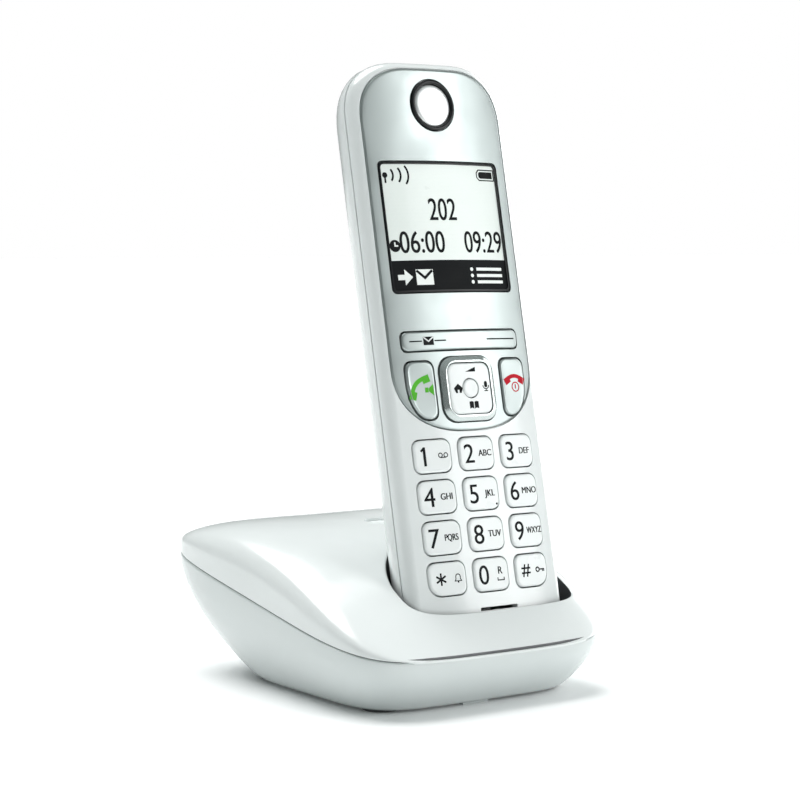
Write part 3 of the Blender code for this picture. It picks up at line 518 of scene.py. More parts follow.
def sleeve_finish(name, low, high):
    """Printed battery sleeve: a green wrap with a light band and a bright metal end."""
    made = finish(name, (0.1, 0.35, 0.2), 0.3, vary=0.05, coat=0.3)
    tree, shader, place = opened(made)
    split = add_node(tree, "SeparateXYZ")
    tree.links.new(place, split.inputs["Vector"])
    share = link_range(tree, split.outputs["Z"], 0.0, 1.0, low * MM, high * MM)
    green, light, metal = (0.03, 0.22, 0.09), (0.75, 0.78, 0.74), (0.6, 0.6, 0.58)
    stops = [(0.0, metal), (0.03, green), (0.3, green), (0.31, light), (0.36, light), (0.37, green),
             (0.9, green), (0.93, light), (0.97, metal)]
    colour = link_ramp(tree, share, stops)
    colour.node.color_ramp.interpolation = "CONSTANT"
    tree.links.new(colour, shader.inputs["Base Color"])
    return made


# ---------------------------------------------------------------- base

def superellipse(half_x, half_y, power, angle):
    """A point on a superellipse."""
    c, s = cos(angle), sin(angle)
    x = half_x * abs(c) ** (2 / power) * (1 if c >= 0 else -1)
    y = half_y * abs(s) ** (2 / power) * (1 if s >= 0 else -1)
    return x, y


def furthest(inside, high):
    """The largest value up to high that is still inside, found by halving."""
    low = 0.0
    for _ in range(40):
        middle = (low + high) / 2
        if inside(middle):
            low = middle
        else:
            high = middle
    return low


def outline_reach(origin, angle):
    """Distance from a point to the base's outline, in a direction."""
    def inside(reach):
        x = abs((origin[0] + reach * cos(angle)) / (BASE_WIDTH / 2))
        y = abs((origin[1] + reach * sin(angle)) / (BASE_DEPTH / 2))
        return x ** BASE_POWER + y ** BASE_POWER < 1
    return furthest(inside, 200.0)


def seam_height(x, y):
    """Height of the seam between the base's shells."""
    middle = (SEAM_FRONT + SEAM_REAR) / 2
    slope = (SEAM_REAR - SEAM_FRONT) / BASE_DEPTH
    return middle + slope * y + SEAM_SAG * (2 * x / BASE_WIDTH) ** 2


def crown_height(x, y):
    """Height of the base's top surface."""
    along = min(1.0, abs(2 * y / BASE_DEPTH))
    half = (BASE_WIDTH / 2) * (1 - along ** BASE_POWER) ** (1 / BASE_POWER)
    across = min(1.0, abs(x) / half) if half > 1e-6 else 1.0
    ease = CROWN_FRONT if y < 0 else CROWN_REAR
    rise = (1 - along ** CROWN_POWER) ** ease * (1 - across ** CROWN_SIDE) ** (1 / CROWN_SIDE)
    return seam_height(x, y) + CROWN_HEIGHT * rise


def pocket_half(rear):
    """Depth and roundness of the pocket's rear or front half."""
    if rear:
        return BACK_DEPTH - WAIST_DEPTH + POCKET_BACK, BACK_POWER
    return WAIST_DEPTH + POCKET_FRONT, POCKET_CORNER


def pocket_point(angle, wall, height):
    """A point of the handset's pocket, at a height along it, in world millimetres."""
    flare = min(1.0, max(0.0, height / POCKET_FLARE))
    half = HANDSET_WIDTH / 2 + POCKET_FIT + flare * (POCKET_SIDE - POCKET_FIT) + wall
    depth, power = pocket_half(sin(angle) > 0)
    x, y = superellipse(half, depth + wall, power, angle)
    return (PHONE @ Vector((flare * POCKET_SHIFT + x, WAIST_DEPTH + y, height))) / MM


def rim_height(angle, wall):
    """Height along the pocket at which its wall meets the crown."""
    def inside(height):
        point = pocket_point(angle, wall, height)
        return point.z < crown_height(point.x, point.y)
    return furthest(inside, 70.0)


def pocket_angles(count):
    """Angles round the pocket that point evenly outwards from its middle."""
    fine = [2 * pi * i / 1440 for i in range(1441)]
    facing = []
    for angle in fine:
        point = pocket_point(angle, LIP_ROUND, rim_height(angle, LIP_ROUND))
        facing.append(atan2(point.y - POCKET_MIDDLE[1], point.x - POCKET_MIDDLE[0]))
    facing = np.unwrap(facing)
    wanted = facing[0] + 2 * pi * np.arange(count) / count
    return list(np.interp(wanted, facing, fine)), list(wanted)


def crown_shell():
    """Upper shell: crown, rounded lip and pocket as one sheet, thickened inwards."""
    angles, facing = pocket_angles(240)
    rims = [rim_height(angle, LIP_ROUND) for angle in angles]
    edges = [rim_height(angle, 0.0) for angle in angles]
    starts = [pocket_point(angle, LIP_ROUND, rim) for angle, rim in zip(angles, rims)]
    rings = []
    steps = 34
    for step in range(steps + 1):
        share = (1 - step / steps) ** 2.0
        ring = []
        for start, turn in zip(starts, facing):
            reach = outline_reach(start, turn)
            x = start.x + (1 - share) * reach * cos(turn)
            y = start.y + (1 - share) * reach * sin(turn)
            ring.append((x, y, max(crown_height(x, y), seam_height(x, y) + BASE_SEAM / 2)))
        rings.append(ring)
    rings.reverse()
    for step in range(1, 7):
        t = step / 6
        ring = []
        for angle, start, edge in zip(angles, starts, edges):
            corner = pocket_point(angle, 0.0, edge)
            low = pocket_point(angle, 0.0, edge - LIP_ROUND)
            ring.append((1 - t) ** 2 * start + 2 * t * (1 - t) * corner + t * t * low)
        rings.append(ring)
    for part in (0.3, 0.6, 0.85, 1.0):
        ring = []
        for angle, edge in zip(angles, edges):
            top = edge - LIP_ROUND
            ring.append(pocket_point(angle, 0.0, top + part * (1.4 - POCKET_FLOOR - top)))
        rings.append(ring)
    for inset, rise in ((0.12, 0.9), (0.4, 0.45), (0.8, 0.12), (1.3, 0.0)):
        rings.append([pocket_point(angle, -inset, rise - POCKET_FLOOR) for angle in angles])
    shape = ring_loft(rings, closed=False)
    shape.verts.ensure_lookup_table()
    count = len(angles)
    inner = [shape.verts[len(shape.verts) - count + i] for i in range(count)]
    fan(shape, inner)
    bmesh.ops.recalc_face_normals(shape, faces=shape.faces)
    if sum(face.normal.z * face.calc_area() for face in shape.faces) < 0:
        bmesh.ops.reverse_faces(shape, faces=shape.faces)
    sheet = scratch(shape)
    wall = sheet.modifiers.new("wall", "SOLIDIFY")
    wall.thickness = SHELL_WALL
    wall.offset = -1.0
    return worked(sheet)


def pill_loop(middle, size, grow, height):
    """A pill-shaped outline around a point."""
    radius = size.y / 2 + grow
    reach = (size.x - size.y) / 2
    loop = []
    for i in range(48):
        angle = 2 * pi * (i + 0.5) / 48
        shift = reach if cos(angle) > 0 else -reach
        loop.append((middle.x + shift + radius * cos(angle), middle.y + radius * sin(angle), height))
    return loop


PAGING_FLANGE = 1.2
PIN_HOLE = 1.35


def paging_place():
    """Middle and size of the paging key's cap, without its flange."""
    size = node_size("paging_key", ROOM) - Vector((2 * PAGING_FLANGE, 2 * PAGING_FLANGE, 0.0))
    return node_middle("paging_key", ROOM), size


def make_base_top(look):
    """Upper shell with the holes for the paging key and the charging pins; the faces inside the pocket are
    painted near-black, as painted shade.
    """
    shape = crown_shell()
    middle, size = paging_place()
    hole = ring_loft([pill_loop(middle, size, KEY_GAP, z) for z in (34.0, 50.0)])
    shape = carved(shape, hole)
    pins = []
    for node in ("base_contact_left", "base_contact_right"):
        low, high = node_box(node)
        x, y = (low.x + high.x) / 2, (low.y + high.y) / 2
        rings = []
        for z in (-6.0, 2.0):
            loop = [(x + PIN_HOLE * cos(pi * i / 16), y + PIN_HOLE * sin(pi * i / 16), z) for i in range(32)]
            rings.append([(PHONE @ Vector(point)) / MM for point in loop])
        pins.append(ring_loft(rings))
    shape = carved(shape, merged(pins))
    made = piece("base_top_shell", shape, look["white"], "base", ("base_top",), ROOM, 30.0)
    # The faces inside the pocket get a near-black finish: painted shade standing in for the dark inside the
    # pocket.
    made.data.materials.append(look["pocket_shade"])
    to_handset = PHONE.inverted()
    half = HANDSET_WIDTH / 2 + POCKET_SIDE + POCKET_SHADE_EDGE
    for face in made.data.polygons:
        place = to_handset @ face.center
        reach, power = pocket_half(place.y > WAIST_DEPTH)
        across = abs(place.x - POCKET_SHIFT) / half
        deep = abs(place.y - WAIST_DEPTH) / (reach + POCKET_SHADE_EDGE)
        if across ** power + deep ** power < 1:
            face.material_index = 1


def squarish_turns():
    """Angles that step evenly round the base's squarish outline."""
    turns = [2 * pi * i / 192 for i in range(192)]
    return [turn - 0.21 * sin(4 * turn) for turn in turns]


def seam_loop(inset, rise):
    """An outline of the seam, drawn in and raised."""
    loop = []
    for angle in squarish_turns():
        x, y = superellipse(BASE_WIDTH / 2 - inset, BASE_DEPTH / 2 - inset, BASE_POWER, angle)
        loop.append((x, y, seam_height(x, y) + rise))
    return loop


def make_painted_gap_shade(look):
    """Dark rings hidden in the seam between the shells and round the paging key: painted shade that makes
    both gaps read dark.
    """
    # A dark ring behind the seam gap: painted shade that makes the seam line read dark.
    seam_shade = tube([seam_loop(0.55, -0.7), seam_loop(1.3, -0.7), seam_loop(1.3, 0.6), seam_loop(0.55, 0.6)])
    piece("base_seam_painted_shade", seam_shade, look["rubber"], "base", (), ROOM)
    middle, size = paging_place()
    top = node_box("paging_key", ROOM)[1].z
    loops = [pill_loop(middle, size, grow, top - drop)
             for grow, drop in ((0.05, 0.5), (0.05, 1.3), (1.0, 1.3), (1.0, 0.5))]
    # A dark ring in the gap round the paging key: painted shade that makes the slit read dark.
    piece("paging_gap_painted_shade", tube(loops), look["rubber"], "base", (), ROOM)


def make_paging_key(look):
    """Pill-shaped key with a rounded, slightly hollowed top."""
    middle, size = paging_place()
    low, high = node_box("paging_key", ROOM)
    rings = [pill_loop(middle, size, PAGING_FLANGE, low.z)]
    rings.append(pill_loop(middle, size, PAGING_FLANGE, low.z + 0.9))
    rings.append(pill_loop(middle, size, 0.0, low.z + 0.9))
    for i in range(6):
        angle = pi / 2 * i / 5
        rings.append(pill_loop(middle, size, -0.45 * (1 - cos(angle)), high.z - 0.45 * (1 - sin(angle))))
    for inset, drop in ((0.9, 0.02), (1.5, 0.1), (2.0, 0.15)):
        rings.append(pill_loop(middle, size, -inset, high.z - drop))
    piece("paging_key_cap", ring_loft(rings), look["white"], "paging_key",
          ("paging_key",), ROOM)


def tub_ring(part, inset, floor):
    """A ring of the lower shell; part runs from 0 at the seam to 1 at the floor."""
    pull = part ** FOOT_TUCK
    ring = []
    for angle in squarish_turns():
        x0, y0 = superellipse(BASE_WIDTH / 2 - inset, BASE_DEPTH / 2 - inset, BASE_POWER, angle)
        x1, y1 = superellipse(FOOT_WIDTH / 2 - inset, FOOT_DEPTH / 2 - inset, FOOT_POWER, angle)
        top = seam_height(x0, y0) - BASE_SEAM / 2
        x, y = x0 + pull * (x1 - x0), y0 + pull * (y1 - FOOT_FORWARD - y0)
        ring.append((x, y, top + part * (floor - top)))
    return ring


BAY = ((-17.0, 42.5, 16.0), (21.0, 58.0, 30.0))
BAY_WALL = 2.0
BASE_WALL = 2.0
FRONT_TAB = (-5.5, 2.5, 5.0)
LINE_MOUTH = (5.0, 3.3)
POWER_MOUTH = 3.2
BASE_SCREW = (1.25, 2.35, 1.5)
FOOT_SEAT = (5.3, 1.0)
VENT = (7, 4.0, 0.8, -22.0, -10.0)


def tub_solid():
    """Outer shape of the lower shell, rounded at its foot."""
    rings = [tub_ring(0.0, 0.25, FOOT_HEIGHT), tub_ring(0.012, 0.06, FOOT_HEIGHT)]
    rings += [tub_ring(0.03 + 0.9 * i / 22, 0.0, FOOT_HEIGHT) for i in range(23)]
    for i in range(1, 7):
        angle = pi / 2 * i / 6
        part = 0.93 + 0.07 * sin(angle)
        rings.append(tub_ring(part, 1.0 * (1 - cos(angle)), FOOT_HEIGHT))
    return ring_loft(rings)


def tub_hollow():
    """Room inside the lower shell, without the plug bay and its walls."""
    floor = FOOT_HEIGHT + BASE_WALL
    lip = [(x, y, z + 8.0) for x, y, z in tub_ring(0.0, BASE_WALL, floor)]
    inner = [lip] + [tub_ring(i / 10, BASE_WALL, floor) for i in range(10)]
    inner.append(tub_ring(1.0, BASE_WALL + 1.0, floor))
    low, high = (Vector(corner) for corner in BAY)
    wall = BAY_WALL
    return carved(ring_loft(inner), box(low - Vector((wall, wall, wall)), high + Vector((wall, 0.0, wall))))


def socket_mouths():
    """Cutters from the plug bay into the two sockets."""
    front = BAY[0][1]
    line = node_middle("line_socket", ROOM)
    wide, tall = LINE_MOUTH
    mouth = box((line.x - wide, front - 4, line.z - tall), (line.x + wide, front + 2, line.z + tall))
    power = node_middle("power_socket", ROOM)
    bore = [(POWER_MOUTH, front - 4), (POWER_MOUTH, front + 2)]
    return [mouth, turned(bore, "Y", 48, (power.x, 0.0, power.z))]


def underside_cuts():
    """Cutters for the screw wells, the feet's seats and a row of vents."""
    floor = FOOT_HEIGHT + BASE_WALL
    cuts = []
    shaft, head, deep = BASE_SCREW
    for node in ("base_screw_left", "base_screw_right"):
        place = node_middle(node, ROOM)
        steps = [(head, -2.0), (head, FOOT_HEIGHT + deep), (shaft, FOOT_HEIGHT + deep), (shaft, floor + 2)]
        cuts.append(turned(steps, "Z", 32, (place.x, place.y, 0.0)))
    radius, deep = FOOT_SEAT
    for node in ("foot_front_left", "foot_front_right", "foot_rear_left", "foot_rear_right"):
        place = node_middle(node, ROOM)
        seat = [(radius, -1.0), (radius, FOOT_HEIGHT + deep)]
        cuts.append(turned(seat, "Z", 48, (place.x, place.y, 0.0)))
    count, pitch, half, front, back = VENT
    for i in range(count):
        x = (i - count // 2) * pitch
        cuts.append(box((x - half, front, -1.0), (x + half, back, floor + 1.0)))
    return cuts


def make_base_bottom(look):
    """Lower shell with its plug bay, recesses, front tab and a row of underside vents."""
    shape = carved(tub_solid(), tub_hollow())
    shape = carved(shape, box(*BAY))
    shape = carved(shape, merged(socket_mouths() + underside_cuts()))
    left, right, deep = FRONT_TAB
    front = 1.0 - FOOT_FORWARD - FOOT_DEPTH / 2
    tab = box((left, front, 0.0), (right, front + deep, FOOT_HEIGHT + 0.5))
    shape = carved(shape, tab, "UNION")
    # The lower shell takes a darker copy of the white plastic: painted shade, as under the crown's overhang.
    piece("base_bottom_shell", shape, look["under"], "base", ("base_bottom",), ROOM, 30.0)


def make_socket_contacts(look):
    """Sprung wires in the line socket and the pin of the power socket."""
    low, high = node_box("line_socket", ROOM)
    middle = (low + high) / 2
    wires = []
    for i in range(4):
        x = middle.x + (i - 1.5) * 1.1
        rings = []
        for y, z in ((high.y - 8.9, middle.z + 3.1), (high.y - 6.0, middle.z + 2.6),
                     (high.y - 3.5, middle.z + 1.4), (high.y - 2.2, middle.z + 2.7)):
            rings.append([(x - 0.2, y, z - 0.2), (x + 0.2, y, z - 0.2), (x + 0.2, y, z + 0.2),
                          (x - 0.2, y, z + 0.2)])
        wires.append(ring_loft(rings))
    piece("line_socket_wires", merged(wires), look["gold"], "base", (), ROOM)
    low, high = node_box("power_socket", ROOM)
    middle = (low + high) / 2
    profile = [(0.75, high.y - 9.0), (0.75, high.y - 2.4), (0.55, high.y - 1.9), (0.2, high.y - 1.7)]
    pin = turned(profile, "Y", 24, (middle.x, 0.0, middle.z))
    piece("power_socket_pin", pin, look["steel"], "base", (), ROOM)


# ---------------------------------------------------------------- handset shells

def body_rows():
    """Outline of the handset."""
    corners = [TIP_CORNER, TIP_CORNER, TOP_CORNER, TOP_CORNER]
    return outline_rows(HANDSET_LENGTH, HANDSET_WIDTH / 2, corners, 12, CORNER_POWER)


def back_half(depth):
    """Half width of the rounded back at a depth."""
    part = min(1.0, max(0.0, depth - WAIST_DEPTH) / (BACK_DEPTH - WAIST_DEPTH))
    return (HANDSET_WIDTH / 2) * (1 - part ** BACK_POWER) ** (1 / BACK_POWER)


def back_level(depth, wall=0.0):
    """Level of the rounded back, or of its inner face."""
    inset = HANDSET_WIDTH / 2 - back_half(depth)
    share = 2 * inset / HANDSET_WIDTH
    side = min(inset + wall, HANDSET_WIDTH / 2 - 2.0)
    return (depth - wall * share, side, share * BACK_TIP_LIFT + wall, share * BACK_TOP_DROP + wall, 0.0)


def rear_solid(wall=0.0):
    """Rounded back of the handset, or the hollow inside it."""
    start = PARTING + SEAM_GAP / 2
    deepest = BACK_DEPTH - 0.6
    depths = [start + (deepest - start) * (1 - (1 - i / 22) ** 1.6) for i in range(23)]
    levels = [back_level(depth, wall) for depth in depths]
    if wall:
        levels.insert(0, (levels[0][0] - 6.0, *levels[0][1:]))
    return pillow(body_rows(), levels, 16)


def cover_block(gap):
    """Rounded block that parts the battery cover from the rear housing."""
    low, high = node_box("battery_cover")
    rows = outline_rows(high.z - low.z, (high.x - low.x) / 2, [(3.0, 3.0)] * 4, 8)
    wide = grown(rows, gap)
    return pillow(wide, [even(low.y, 0.0, 0.0), even(BACK_DEPTH + 4, 0.0, 0.0)], 4, (0.0, low.z - gap))


GRILLE = (8.2, 3, 2.2)
GRILLE_RIB = 0.7
POST = (3.4, 12.7)
HANDSET_SCREW = (1.25, 2.35, 18.5)
CLIP_NOTCH = (1.3, 12.8, 104.0)


def grille(middle):
    """Rows of short slots in a round field, for the loudspeaker."""
    radius, rows, pitch = GRILLE
    slots = []
    for row in range(-rows, rows + 1):
        z = middle.z + row * pitch
        reach = (max(0.0, radius ** 2 - (row * pitch) ** 2)) ** 0.5
        for start, end in ((-reach, -GRILLE_RIB), (GRILLE_RIB, reach)):
            if end - start > 1.5:
                low = (middle.x + start, 18.0, z - 0.5)
                slots.append(box(low, (middle.x + end, BACK_DEPTH + 3, z + 0.5)))
    return merged(slots)


def make_rear_housing(look):
    """Back shell with the cover opening, loudspeaker slots, screw wells and clip notches."""
    shape = carved(rear_solid(), rear_solid(HANDSET_WALL))
    shape = carved(shape, cover_block(SEAM_GAP))
    shape = carved(shape, grille(node_middle("loudspeaker")))
    wells = [node_middle(node) for node in ("handset_screw_left", "handset_screw_right")]
    radius, front = POST
    posts = [turned([(radius, front), (radius, BACK_DEPTH)], "Y", 32, (at.x, 0.0, at.z)) for at in wells]
    posts = carved(merged(posts), rear_solid(), "INTERSECT")
    shape = carved(shape, posts, "UNION")
    shaft, head, seat = HANDSET_SCREW
    profile = [(shaft, 10.0), (shaft, seat), (head, seat), (head, BACK_DEPTH + 4)]
    cuts = [turned(profile, "Y", 32, (at.x, 0.0, at.z)) for at in wells]
    radius, deep, high = CLIP_NOTCH
    for side in (-1, 1):
        x = side * HANDSET_WIDTH / 2
        cuts.append(turned([(radius, x - 1.0), (radius, x + 1.0)], "X", 32, (0.0, deep, high)))
    shape = carved(shape, merged(cuts + contact_slots()))
    piece("rear_shell", shape, look["white"], "handset", ("rear_housing",))


def make_battery_cover(look):
    """Lift-off cover with a row of grip ridges."""
    shape = carved(rear_solid(), rear_solid(HANDSET_WALL))
    shape = carved(shape, cover_block(0.0), "INTERSECT")
    grips = []
    for i in range(5):
        z = node_box("battery_cover")[1].z - 6.0 - i * 1.5
        reach = 6.5 - 0.9 * i
        rings = []
        for x in (-reach, reach):
            rings.append([(x, BACK_DEPTH + 1.0, z - 0.5), (x, BACK_DEPTH + 1.0, z + 0.5),
                          (x, 26.6 - 0.02 * reach ** 2, z)])
        grips.append(ring_loft(rings))
    shape = carved(shape, merged(grips))
    piece("battery_cover_shell", shape, look["white"], "battery_cover", ("battery_cover",))


def make_battery_tray(look):
    """Open tray that the two cells lie in."""
    low, high = node_box("battery_cover")
    cells_low, _ = node_box("battery_left")
    floor = cells_low.y - 0.4
    outer = box((low.x + 0.6, floor - 0.8, low.z + 0.6), (high.x - 0.6, low.y + 2.2, high.z - 0.6))
    inner = box((low.x + 1.6, floor, low.z + 1.6), (high.x - 1.6, low.y + 6.0, high.z - 1.6))
    piece("battery_tray", carved(outer, inner), look["tray"], "handset")


def front_solid():
    """Outer shape of the front cover."""
    rim = PARTING - SEAM_GAP / 2
    inset = HANDSET_WIDTH / 2 - back_half(rim)
    reach, drop = FACE_ROUND
    levels = []
    for i in range(9):
        angle = pi / 2 * i / 8
        bent = 1.0 - 0.7 * (1 - cos(angle))
        levels.append(even(drop * (1 - cos(angle)), reach * (1 - sin(angle)), bent))
    levels.append(even(5.0, 0.0, 0.15))
    levels.append((rim - 0.2, inset * 0.8, 0.15, 0.2, 0.0))
    levels.append((rim, inset + 0.1, 0.25, 0.35, 0.0))
    return pillow(body_rows(), levels, 24)


def node_outline(node, corners, steps=9, spacing=4.0):
    """Outline rows of a plate node, from its box; the call keys are drawn in at their sides."""
    size = node_size(node)
    left, right = CALL_TRIM.get(node, (0.0, 0.0))
    return outline_rows(size.z, (size.x - left - right) / 2, corners, steps, spacing=spacing)


def key_place(node):
    """Middle of a key's drawn outline."""
    place = node_middle(node)
    left, right = CALL_TRIM.get(node, (0.0, 0.0))
    return Vector((place.x + (left - right) / 2, place.y, place.z))


KEY_NODES = ("key_1", "key_2", "key_3", "key_4", "key_5", "key_6", "key_7", "key_8", "key_9",
             "key_star", "key_0", "key_hash")


def key_corners(node):
    """Corner reaches of a key's outline: bl, br, tl, tr."""
    corners = [(KEY_CORNER, KEY_CORNER)] * 4
    if node == "key_star":
        corners[0] = (KEY_OUTER_CORNER, KEY_OUTER_CORNER)
    if node == "key_hash":
        corners[1] = (KEY_OUTER_CORNER, KEY_OUTER_CORNER)
    if node == "talk_key":
        corners[0] = CALL_SWEEP
    if node == "end_key":
        corners[1] = CALL_SWEEP
    if node == "display_key_bar":
        corners = [(1.8, 1.8)] * 4
    if node == "nav_key":
        corners = [(4.4, 4.4)] * 4
    if node == "display_window":
        corners = [(1.6, 1.6)] * 4
    return corners


def key_hole(node):
    """Cutter for a key's or the window's hole in the face."""
    place = key_place(node)
    gap = NUMBER_GAP if node in KEY_NODES else KEY_GAP
    return hole_through(node_outline(node, key_corners(node), spacing=40.0), (place.x, place.z), gap)


def ear_hole(depth):
    """Cutter for the earpiece's hole in the face."""
    size = node_size("earpiece_ring")
    place = node_middle("earpiece_ring")
    radius = size.x / 2 + KEY_GAP
    return turned([(radius, -3.0), (radius, depth)], "Y", 64, (0.0, 0.0, place.z))


PLATE_THICKNESS = 0.9
PLATE_GAP = 0.28
PLATE_CHIN = (21.2, 17.0)
PLATE_BROW = (15.0, 14.0)
EAR_DISH = (10.5, 0.5)


def plate_rows():
    """Outline of the silver faceplate."""
    size = node_size("faceplate")
    corners = [PLATE_CHIN, PLATE_CHIN, PLATE_BROW, PLATE_BROW]
    return outline_rows(size.z, size.x / 2, corners, 14, CORNER_POWER, 2.5)


MICROPHONE_SLOT = ((-4.5, -1.0, 9.9), (7.5, 2.6, 10.75))
FUNCTION_KEYS = ("display_key_bar", "talk_key", "end_key", "nav_key")


def contact_slots():
    """Cutters for the charging contacts' slots at the tip."""
    slots = []
    for node in ("handset_contact_left", "handset_contact_right"):
        low, high = node_box(node)
        gap = Vector((0.2, 0.2, 3.0))
        slots.append(box(low - gap, high + gap))
    return slots


def make_front_cover(look):
    """Front shell with the faceplate recess, the keys' holes and the microphone slot."""
    hollow_levels = [even(2.4, 4.2), even(3.8, 2.4, 0.7), even(5.8, 1.6, 0.3), even(PARTING + 4.0, 1.6, 0.0)]
    shape = carved(front_solid(), pillow(body_rows(), hollow_levels, 16))
    low, _ = node_box("faceplate")
    recess = pillow(grown(plate_rows(), PLATE_GAP), [even(-4.0, 0.0), even(PLATE_THICKNESS + 0.1, 0.0)],
                    24, (0.0, low.z - PLATE_GAP))
    shape = carved(shape, recess)
    holes = [key_hole(node) for node in KEY_NODES + FUNCTION_KEYS + ("display_window",)]
    holes.append(ear_hole(2.0))
    shape = carved(shape, merged(holes))
    slots = [box(*MICROPHONE_SLOT)]
    shape = carved(shape, merged(slots + contact_slots()))
    piece("front_shell", shape, look["white"], "handset", ("front_cover",))


def make_faceplate(look):
    """Silver plate with a shallow dish around the earpiece."""
    low, _ = node_box("faceplate")
    levels = [even(0.0, 0.5), even(0.04, 0.3), even(0.15, 0.12), even(0.4, 0.0), even(PLATE_THICKNESS, 0.0)]
    shape = pillow(plate_rows(), levels, 36, (0.0, low.z))
    ear = node_middle("earpiece_ring").z
    reach, deep = EAR_DISH
    for vertex in shape.verts:
        away = (vertex.co.x ** 2 + (vertex.co.z - ear) ** 2) ** 0.5 / reach
        if away < 1 and vertex.co.y < face_bow(vertex.co.x) + 0.3:
            vertex.co.y += deep * (1 - away ** 2) ** 2
    holes = [key_hole(node) for node in FUNCTION_KEYS + ("display_window",)]
    holes.append(ear_hole(6.0))
    shape = carved(shape, merged(holes))
    piece("faceplate_skin", shape, look["silver"], "handset", ("faceplate",))


def make_earpiece(look):
    """Black ring around a lightly domed disc."""
    place = node_middle("earpiece_ring")
    centre = (0.0, 0.0, place.z)
    outer = node_size("earpiece_ring").x / 2
    inner = node_size("earpiece_disc").x / 2
    rim = []
    for i in range(9):
        angle = pi * i / 8
        middle = (outer + inner + 0.15) / 2
        half = (outer - inner - 0.15) / 2
        rim.append((middle + half * cos(angle), 0.1 - 0.45 * sin(angle)))
    loops = []
    for radius, height in [(outer, 1.7)] + rim + [(inner + 0.15, 1.7)]:
        turns = [2 * pi * i / 96 for i in range(96)]
        loops.append([(radius * cos(turn), height, place.z + radius * sin(turn)) for turn in turns])
    piece("earpiece_bezel", tube(loops), look["black_gloss"], "handset", ("earpiece_ring",))
    dome = [(inner - 0.02, 1.7), (inner - 0.02, 0.35), (inner - 0.25, 0.12)]
    dome += [((inner - 0.6) * (1 - i / 6), 0.02 - 0.18 * (1 - (1 - i / 6) ** 2)) for i in range(6)]
    piece("earpiece_cap", turned(dome, "Y", 96, centre), look["disc"], "handset",
          ("earpiece_disc",))


# ---------------------------------------------------------------- display and keys

DISPLAY_LEVEL = 0.35
DISPLAY_BORDER = 0.6
BAND_TOP = -8.8


def make_display(look):
    """Display surface with its fine grid, set in a thin black border."""
    low, high = node_box("display_window")
    rows = node_outline("display_window", key_corners("display_window"), spacing=2.0)
    back = pillow(rows, [even(DISPLAY_LEVEL, 0.15), even(high.y - 1.2, 0.15)], 36, (0.0, low.z))
    piece("display_panel", back, look["lcd"], "handset", ("display_window",))

    border = pillow(rows, [even(0.05, 0.25), even(0.1, 0.08), even(0.22, 0.0), even(1.2, 0.0)],
                    36, (0.0, low.z))
    side = DISPLAY_BORDER
    inner_rows = outline_rows(high.z - low.z - 2 * side, high.x - side, [(1.1, 1.1)] * 4, 6, spacing=2.0)
    inner = pillow(inner_rows, [even(-2.0, 0.0), even(4.0, 0.0)], 36, (0.0, low.z + side))
    piece("display_border", carved(border, inner), look["black_gloss"], "handset")

    middle = (low.z + high.z) / 2
    tall = middle + BAND_TOP - low.z - side
    band_rows = outline_rows(tall, high.x - side, [(1.1, 1.1)] * 2 + [(0.01, 0.01)] * 2, 6, spacing=2.0)
    band = pillow(band_rows, [even(DISPLAY_LEVEL - PRINT_PROUD, 0.0), even(DISPLAY_LEVEL + PRINT_SUNK, 0.0)],
                  36, (0.0, low.z + side))
    piece("display_band", band, look["lcd_dark"], "handset")


def hollow(node, x, z, dish):
    """How far a dished key top lies below its edge."""
    place, size = node_middle(node), node_size(node)
    across = 2 * (x - place.x) / size.x
    along = 2 * (z - place.z) / size.z
    return dish * max(0.0, 1 - across ** 2) * max(0.0, 1 - along ** 2)


def key_cap(node, proud, reach, drop, foot, columns=16, dish=0.0):
    """A key cap with a rounded edge; dish hollows its top a little."""
    place, size = key_place(node), node_size(node)
    ease = NUMBER_EASE if node in KEY_NODES else CAP_EASE
    rows = grown(node_outline(node, key_corners(node), 9, 1.2), -ease)
    levels = rounded_levels(-proud, reach, drop, foot)
    levels[-1] = even(foot, 0.0, 0.0)
    shape = pillow(rows, levels, columns, (place.x, place.z - size.z / 2 + ease))
    for vertex in shape.verts:
        if vertex.co.y < face_bow(vertex.co.x) - proud + 0.01:
            vertex.co.y += hollow(node, vertex.co.x, vertex.co.z, dish)
    return shape


def make_number_keys(look):
    """Twelve white keys with soft edges."""
    for node in KEY_NODES:
        shape = key_cap(node, KEY_PROUD, 0.7, 0.45, 3.2, dish=KEY_DISH)
        piece(node + "_cap", shape, look["key"], node, (node,))


def make_function_keys(look):
    """Call keys and the display's rocker bar."""
    for node in ("talk_key", "end_key"):
        shape = key_cap(node, KEY_PROUD, 0.7, 0.45, 3.2, dish=KEY_DISH)
        piece(node + "_cap", shape, look["silver_key"], node, (node,))
    shape = key_cap("display_key_bar", KEY_PROUD, 0.5, 0.4, 3.2, 36)
    piece("display_bar_cap", shape, look["silver_key"], "display_key_bar",
          ("display_key_bar",))


NAV_FRAME = 1.55
NAV_PROUD = 1.3


def nav_outline(inset):
    """Outline rows of the navigation key, drawn in by an inset."""
    size = node_size("nav_key").x - 2 * inset
    corner = max(1.0, key_corners("nav_key")[0][0] - inset)
    return outline_rows(size, size / 2, [(corner, corner)] * 4, 12, 2.2, 1.0)


def nav_plate(inset, levels):
    """A pillow of the navigation key's outline."""
    rows = nav_outline(inset)
    return pillow(rows, levels, 20, (0.0, node_middle("nav_key").z - rows[-1][0] / 2))


